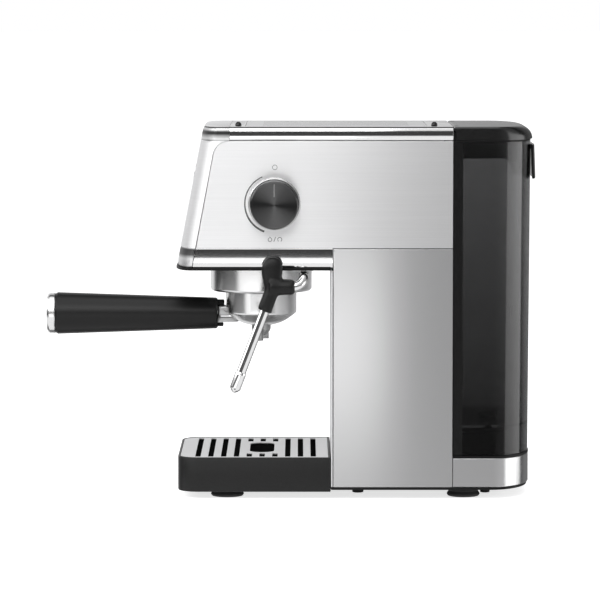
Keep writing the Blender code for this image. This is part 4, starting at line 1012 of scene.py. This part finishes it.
def wand_grip():
    """One soft moulding: a lofted blade from thumb lobe to sleeve, with the arm growing out of it."""
    rows = [(WAND.z1, 10.4, 10.4, 0.6), (200.5, 6.6, 14.2, 2), (198.8, 4.2, 16.4, 3), (196, 2.3, 17.9, 3.7),
            (192.4, 1.1, 18.7, 4.2), (188, 1, 18.6, 4.3), (184, 1.5, 17.9, 4.4), (180, 2.4, 17.2, 4.7),
            (176, 3.4, 16.8, 5.3), (172, 3.2, 15.6, 5.9), (168, 1.9, 13.6, 6.1), (164, 0.5, 11.9, 6.1),
            (160, -0.9, 10.4, 6.1), (156.2, -2.1, 9.2, 6)]
    squareness = 0.9
    sections = []
    for z, left, right, thick in rows:
        slope = tan(TUBE_LEAN) * min(max((ARM_Z - z) / 14, 0), 1)
        middle, half = (left + right) / 2, max((right - left) / 2, 0.35)
        section = []
        for k in range(40):
            angle = 2 * pi * k / 40
            c, s = cos(angle), sin(angle)
            y = middle + half * copysign(abs(c) ** squareness, c)
            x = WAND.x + thick * copysign(abs(s) ** squareness, s)
            section.append((x, y, z - slope * (y - middle)))
        sections.append(section)
    blade = loft("wand_moulding", sections, "grip_black")
    end, radius, nose = WAND.y1 + 0.8, ARM_R + 0.3, 4.6
    arm = [(0, 8), (ARM_R + 1.8, 8), (ARM_R + 0.6, 16), (radius, end - nose)]
    arm += arc((0, end - nose), (radius, nose), 9, 90, 9)[:-1] + [(0, end)]
    out = along(Y_AXIS, (WAND.x, 0, ARM_Z))
    join(blade, turned("arm", arm, None, out, 40))
    modify(blade, "REMESH", mode="VOXEL", voxel_size=0.45 * MM)
    applied(modify(blade, "SMOOTH", factor=0.5, iterations=80))
    moulding = cut(blade, dowel(PIPE_R + GAP, 22, 40, out, look="grip_black"),
                   dowel(4.1, 8, 30, TUBE_AXIS, look="grip_black"))
    moulding.data.materials.clear()
    moulding.data.materials.append(LOOKS["grip_black"])
    stand_in(smooth(moulding, 50), "wand_grip")


def tube():
    """Straight chrome tube with dark lines painted along it as reflections, and the nozzle at its end."""
    radius, end = 3.8, 76
    inward = TUBE_AXIS.inverted()
    outward = inward.to_3x3() @ Vector(X_AXIS)

    def in_painted_reflection(spot, normal):
        spot = inward @ spot
        turn = degrees(atan2(spot.y, spot.x) - atan2(outward.y, outward.x))
        turn = (turn + 90) % 180 - 90
        return any(low < turn < high for low, high in ((-4, 36), (68, 90), (-90, -60)))

    bar = dowel(radius, 8.4, end, TUBE_AXIS, 64, "chrome", "steam_tube_bar")
    # Faces at these turns round the axis are painted dark: painted reflections along the tube.
    stand_in(recolour(bar, "graphite_and_painted_shade", in_painted_reflection), "steam_tube")
    wide, first, last = 4.6, 71, 89
    profile = [(0, end + GAP), (radius + 0.1, end + GAP), (radius + 0.1, first), (wide - 0.5, first, 0.2),
               (wide, first + 2, 1.2), (wide, last - 3.4, 3), (wide - 3.2, last, 3), (0, last)]
    tip = turned("steam_tip", profile, "chrome", TUBE_AXIS, 64, 8)
    # The slot and the hole leave satin black on their walls: painted shade inside the nozzle.
    slot = prism("slot", rounded_slot(2.9, 1.7), "Z", 3.4, 7, "satin_black")
    place = TUBE_AXIS @ at(0, 0, 80.6) @ Matrix(((0, 0, 1, 0), (0, 1, 0, 0), (1, 0, 0, 0), (0, 0, 0, 1)))
    slot.data.transform(Matrix.Scale(MM, 4) @ place @ Matrix.Scale(1 / MM, 4))
    hole = dowel(0.6, 3, 7, TUBE_AXIS @ along(X_AXIS, (0, 0, 85.6)), 16, "satin_black")
    stand_in(cut(tip, slot, hole), "steam_nozzle")


# ---- drip tray
def tray_outline(half, front, rear, corner, inset=0, steps=12):
    half, front, rear, corner = half - inset, front + inset, rear - inset, corner - inset
    right = arc((half - corner, front + corner), (corner, corner), -90, 0, steps)
    return mirrored(right) + right + [(half, rear), (-half, rear)]


def drip_tray():
    box, grid = Extent("drip_tray"), Extent("drip_grid")
    corner, rim, wall = 17, 1.8, 3.2
    floor_low, floor_top, above = 12.6, 14.6, box.z1 + 1

    def plan(inset, rear=box.y1):
        return tray_outline(box.x1, box.y0, rear, corner, inset)

    outside = [(0.8, box.z0), (0.25, box.z0 + 0.25), (0, box.z0 + 0.9), (0, box.z1 - 0.8),
               (0.25, box.z1 - 0.2), (0.8, box.z1)]
    shell = loft("tray_shell", [at_height(plan(inset), z) for inset, z in outside], "tray_black")
    cut(shell, prism("recess", plan(rim), "Z", grid.z0 - GAP, above),
        prism("basin", plan(wall), "Z", floor_top, above),
        prism("under", plan(wall, box.y1 + 20), "Z", box.z0 - 1, floor_low))
    stand_in(shell, "drip_tray")

    outline = tray_outline(grid.x1, grid.y0, grid.y1, corner - rim - GAP)
    plate = prism("grid_sheet", outline, "Z", grid.z0, grid.z1, "grid_steel")
    low, high = grid.z0 - 1, grid.z1 + 1
    pitch, slot = 10.6, 2.25
    cutters = []
    for row in range(10):
        y = -51.8 + row * pitch
        for x, half in [(0, 62)] if abs(y) > 15 else [(-51, 11), (51, 11)]:
            outline = rectangle((x - half, x + half), (y - slot, y + slot), 0.9, 4)
            cutters.append(prism("slot", outline, "Z", low, high))
    hole = arc((22, 0.8), (11, 10.2), -90, 90, 16)
    cut(plate, *cutters, prism("hole", hole + mirrored(hole), "Z", low, high))
    stand_in(soften(plate, 0.22, 2, 50), "drip_grid")


# ---- tank
WALL = 2.2
TANK_FLOOR = 61
KNUCKLE = (46, 51)
HINGE_PIN = Extent("lid_hinge_pin")
HINGE = along(X_AXIS, (0, HINGE_PIN.y, HINGE_PIN.z))
TANK_FRONT = TANK.y0 + 0.1


def tank():
    """Smoked shell, masked black along its front edges."""
    mask_y = TANK.y0 + 7.4
    tall = TANK.z1 - TANK.z0

    def section(z, inset=0):
        rear = TANK.y1 - 1.3 * (1 - (z - TANK.z0) / tall)
        plan = rear_outline(TANK.x1, TANK.y0, rear, inset, 24)
        half = TANK.x1 - inset
        return at_height(plan[:2] + [(half, mask_y)] + plan[2:] + [(-half, mask_y)], z)

    shell = loft("tank_shell", [section(TANK.z0 + tall * i / 12) for i in range(13)], "smoked")
    inside = loft("inside", [section(z, WALL) for z in (TANK_FLOOR, TANK.z1 + 1)])
    under = loft("under", [section(z, WALL) for z in (TANK.z0 - 1, TANK_FLOOR - WALL)])
    valve = Extent("tank_valve")
    cut(shell, inside, under, dowel(3.4, 50, 70, at(valve.x, valve.y)))
    stand_in(recolour(shell, "gloss_black", lambda spot, normal: spot.y < mask_y - NEAR), "water_tank")


def tank_collar():
    """Black collar inside the tank's rim, stepped down at the rear, with the lid's knuckles in front."""
    box = Extent("tank_collar")
    rim_low, rim_top, hem = TANK.z1 + GAP, LID.z0 - GAP, 262.5
    sleeve_gap = WALL + 0.4

    def plan(inset=0):
        return rear_outline(HALF, TANK.y0, TANK.y1, inset)

    collar = prism("collar_rim", plan(), "Z", rim_low, rim_top, "satin_black")
    front, back = TANK_FRONT, TANK_FRONT + 1.3
    upstand = [(front, rim_low), (back, rim_low), (back, box.z1 - 5.4), (front, box.z1 - 4.4)]
    join(collar, prism("sleeve", plan(sleeve_gap), "Z", hem, rim_top - 0.2),
         prism("upstand", upstand, "X", 1 - HALF, HALF - 1))
    knuckles = []
    for side in (-1, 1):
        low, high = sorted(side * x for x in KNUCKLE)
        knuckles.append(dowel(1.8, low, high, HINGE))
        knuckles.append(block("stalk", (low, high), (front, back), (300, HINGE_PIN.z)))
    join(collar, *knuckles)
    steps = [(150, 250), (240, 250), (240, hem - 1), (216, hem - 1), (214.5, 270), (211.5, 271),
             (209.5, 277.2), (204, 277.8), (199.5, 280.5), (150, 280.5)]
    cut(collar, prism("mouth", plan(sleeve_gap + 2), "Z", hem - 1, 300), dowel(1.2, -70, 70, HINGE, 24),
        prism("stepped_edge", steps, "X", -100, 100))
    stand_in(collar, "tank_collar")


def lid():
    """Domed at the rear, softly broken along its sides, with a barrel along its front edge."""
    tall = LID.z1 - LID.z0
    rear_r, side_r, barrel = 12, 1.6, 1.9
    corner, depth = REAR_CORNER
    sections = []
    for i in range(17):
        z = LID.z0 + tall * sin(radians(90 * i / 16)) * 0.999
        rear = LID.y1 - rear_r * round_off((z - LID.z0) / tall)
        inset = side_r * round_off(max(z - (LID.z1 - side_r), 0) / side_r)
        front = LID.y0 + barrel * round_off(min(max(z - HINGE_PIN.z, 0) / barrel, 1))
        if z < HINGE_PIN.z - barrel:
            front = LID.y0 + 1.6
        size_y = max(depth - (LID.y1 - rear), 4)
        half = LID.x1 - inset
        right = arc((half - corner + inset, rear - size_y), (corner - inset, size_y), 0, 90, 24)
        sections.append(at_height([(-half, front), (half, front)] + right + mirrored(right), z))
    shell = loft("lid_shell", sections, "lid_black")
    hollow_top = 302.2
    inside = rear_outline(HALF, LID.y0 + 1.6, LID.y1 - 2, WALL)
    hollow = prism("hollow", inside, "Z", LID.z0 - 1, hollow_top)
    pockets = []
    for side in (-1, 1):
        x = sorted((side * (KNUCKLE[0] - GAP), side * (KNUCKLE[1] + GAP)))
        pockets.append(block("pocket", x, (150, 163.2), (hollow_top - 1, LID.z1 + 1)))
    cut(shell, hollow, dowel(1.2, -64, 64, HINGE, 24), *pockets)
    stand_in(smooth(shell, 34), "tank_lid")


def pull():
    """Curved pull tab on the tank's back, joined to it by a root along its top edge."""
    box = Extent("tank_handle")
    thick, inward, lean = 2, 1.5, 1
    outer = []
    for i in range(41):
        x = box.x0 + (box.x1 - box.x0) * i / 40
        reach = max(abs(x) - (HALF - REAR_CORNER[0]), 0) / REAR_CORNER[0]
        outer.append((x, box.y1 - inward - REAR_CORNER[1] * round_off(reach)))
    plan = outer + [(x, y - thick) for x, y in reversed(outer)]
    leaning = [(x, y - lean, box.z1) for x, y in plan]
    tab = loft("pull_tab", [at_height(plan, box.z0), leaning], "gloss_black")
    root = block("root", (-24, 24), (TANK.y1 + 0.4, box.y1 - inward - lean - 0.6), (box.z1 - 5, box.z1))
    stand_in(soften(join(tab, root), 0.6, 3, 40), "tank_handle")


def band(name, box, low, high, edge, look):
    """A slice of the tank's plan with its upper and lower edges broken."""
    rows = ((edge, low), (0, low + 0.4), (0, high - 0.4), (edge, high))
    sections = [at_height(rear_outline(box.x1, box.y0, box.y1, inset, 24), z) for inset, z in rows]
    return loft(name, sections, look)


def tank_foot():
    skirt, seat, gland = Extent("tank_skirt"), Extent("tank_seat"), Extent("cord_gland")
    gland_axis = along(Y_AXIS, (gland.x, 0, gland.z))
    wall = band("skirt_band", skirt, skirt.z0, skirt.z1, 0.35, "column_steel")
    inside = prism("inside", rear_outline(skirt.x1, skirt.y0, skirt.y1, SHEET, 24), "Z", 0, 50)
    passage = block("passage", (-50, 50), (150, 170), (0, 50))
    stand_in(cut(wall, inside, passage, dowel(5.9, 200, 240, gland_axis, 48)), "tank_skirt")

    rim = band("seat_rim", seat, skirt.z1 + GAP, TANK.z0 - GAP, 0.3, "satin_black")
    top, spot = 54, at(0, Extent("tank_valve").y)
    middle = [rear_outline(62, 162, 212, inset) for inset in (0, WALL)]
    join(rim, prism("block", middle[0], "Z", seat.z0, top), dowel(5.5, 50, seat.z1, spot))
    cut(rim, prism("hollow", middle[1], "Z", seat.z0 - 1, top - WALL), dowel(2.2, 30, 60, spot, 24),
        dowel(5, 150, 170, along(Y_AXIS, (0, 0, 25))))
    stand_in(rim, "tank_seat")

    bore, neck, flange, step = 2.5, 5.6, 8.5, skirt.y1 + GAP
    profile = [(bore, 214), (neck, 214), (neck, step), (flange, step), (flange, gland.y1, 0.5),
               (3.6, gland.y1, 0.3), (bore, gland.y1 - 1, 0.3)]
    stand_in(turned("gland_ring", profile, "rubber", gland_axis, 48), "cord_gland")


for build in (base_and_feet, column, head_sides, fascia, buttons, top, head_bottom, group, portafilter,
              basket, spout, handle, knob, panel_marks, wand, wand_grip, tube, drip_tray, tank, tank_collar,
              lid, pull, tank_foot):
    build()


# ---- stage
FLOOR_HALF = 30.0
FLOOR_Z = -0.2 * MM
FLOOR_GLOW = 0.72


def stage():
    mesh = bpy.data.meshes.new("floor")
    corners = rectangle((-FLOOR_HALF, FLOOR_HALF), (-FLOOR_HALF, FLOOR_HALF))
    mesh.from_pydata(at_height(corners, FLOOR_Z), [], [(0, 1, 2, 3)])
    floor = in_scene("floor", mesh)
    Shader("floor", grey(0.85), 0.9, Emission_Color=(1.0, 1.0, 1.0, 1.0), Emission_Strength=FLOOR_GLOW,
           Specular_IOR_Level=0.0)
    mesh.materials.append(LOOKS["floor"])
    floor.visible_glossy = False


# What the steel reflects, by the direction's share of each axis: a dark band at eye height, a bright
# floor and ceiling, a softer rear, and two cards on the left side, one of them dark.
BAND_LEVEL, REAR_LEVEL, FLAG_LEVEL, LOW_LEVEL, HIGH_LEVEL = 0.05, 0.35, 0.04, 0.95, 0.85
BEHIND_LEVEL, BEHIND_REAR_LEVEL = 0.85, 0.18
REAR_SPAN, HIGH_REAR_SPAN, BEHIND_REAR_SPAN = (0.2, 0.95), (0.2, 0.8), (-0.1, 0.3)
LOW_SPAN, HIGH_SPAN, FLAG_SPAN, BEHIND_SPAN = (-0.16, -0.22), (0.17, 0.25), (-0.25, -0.40), (-0.62, -0.76)


def studio():
    """A surround that the camera sees as white and the machine sees as a studio."""
    world = bpy.data.worlds.new("studio")
    bpy.context.scene.world = world
    world.use_nodes = True
    wiring = Wiring(world.node_tree)

    def blend(source, output, span, first, second):
        """Mix from first to second as an output goes through the span."""
        part = wiring.node("ShaderNodeMapRange", From_Min=span[0], From_Max=span[1])
        wiring.link(source, output, part, "Value")
        mix = wiring.node("ShaderNodeMixRGB")
        wiring.link(part, "Result", mix, "Fac")
        for socket, colour in (("Color1", first), ("Color2", second)):
            if isinstance(colour, float):
                mix.inputs[socket].default_value = (*grey(colour), 1.0)
            else:
                wiring.link(colour, "Color", mix, socket)
        return mix

    split = wiring.node("ShaderNodeSeparateXYZ")
    wiring.link(wiring.node("ShaderNodeTexCoord"), "Generated", split, "Vector")
    eye_level = blend(split, "Y", REAR_SPAN, BAND_LEVEL, REAR_LEVEL)
    lower = blend(split, "Z", LOW_SPAN, eye_level, LOW_LEVEL)
    high = blend(split, "Y", HIGH_REAR_SPAN, HIGH_LEVEL, REAR_LEVEL)
    around = blend(split, "Z", HIGH_SPAN, lower, high)
    flagged = blend(split, "X", FLAG_SPAN, around, FLAG_LEVEL)
    behind = blend(split, "Y", BEHIND_REAR_SPAN, BEHIND_LEVEL, BEHIND_REAR_LEVEL)
    whole = blend(split, "X", BEHIND_SPAN, flagged, behind)
    seen = blend(wiring.node("ShaderNodeLightPath"), "Is Camera Ray", (0.0, 1.0), whole, 1.0)
    wiring.link(seen, "Color", world.node_tree.nodes["Background"], "Color")


def softbox(name, place, target, size, radiance):
    """A rectangular light of even radiance, facing the target."""
    data = bpy.data.lights.new(name, "AREA")
    data.shape = "RECTANGLE"
    data.size, data.size_y = size
    data.energy = radiance * pi * size[0] * size[1]
    lamp = in_scene(name, data)
    lamp.location = place
    lamp.rotation_euler = (Vector(target) - Vector(place)).to_track_quat("-Z", "Y").to_euler()
    lamp.visible_camera = False


stage()
studio()
softbox("side_box", (0.62, -0.385, 0.652), (0.0, -0.385, 0.652), (0.95, 0.496), 2.5)
softbox("low_box", (0.62, -0.4, 0.0765), (0.0, -0.4, 0.0765), (0.92, 0.153), 1.3)
softbox("front_box", (0.1, -1.5, 0.85), (0.0, 0.0, 0.25), (2.6, 0.7), 1.8)
for width in (1.5, 0.95, 0.5):
    softbox("rear_strip", (-0.03, 1.5, 0.2), (-0.03, 0.0, 0.2), (width, 0.8), 1.7)
softbox("overhead", (0.25, 0.0, 1.3), (0.0, 0.0, 0.2), (1.0, 1.0), 1.0)
bpy.context.scene.view_settings.view_transform = "Standard"
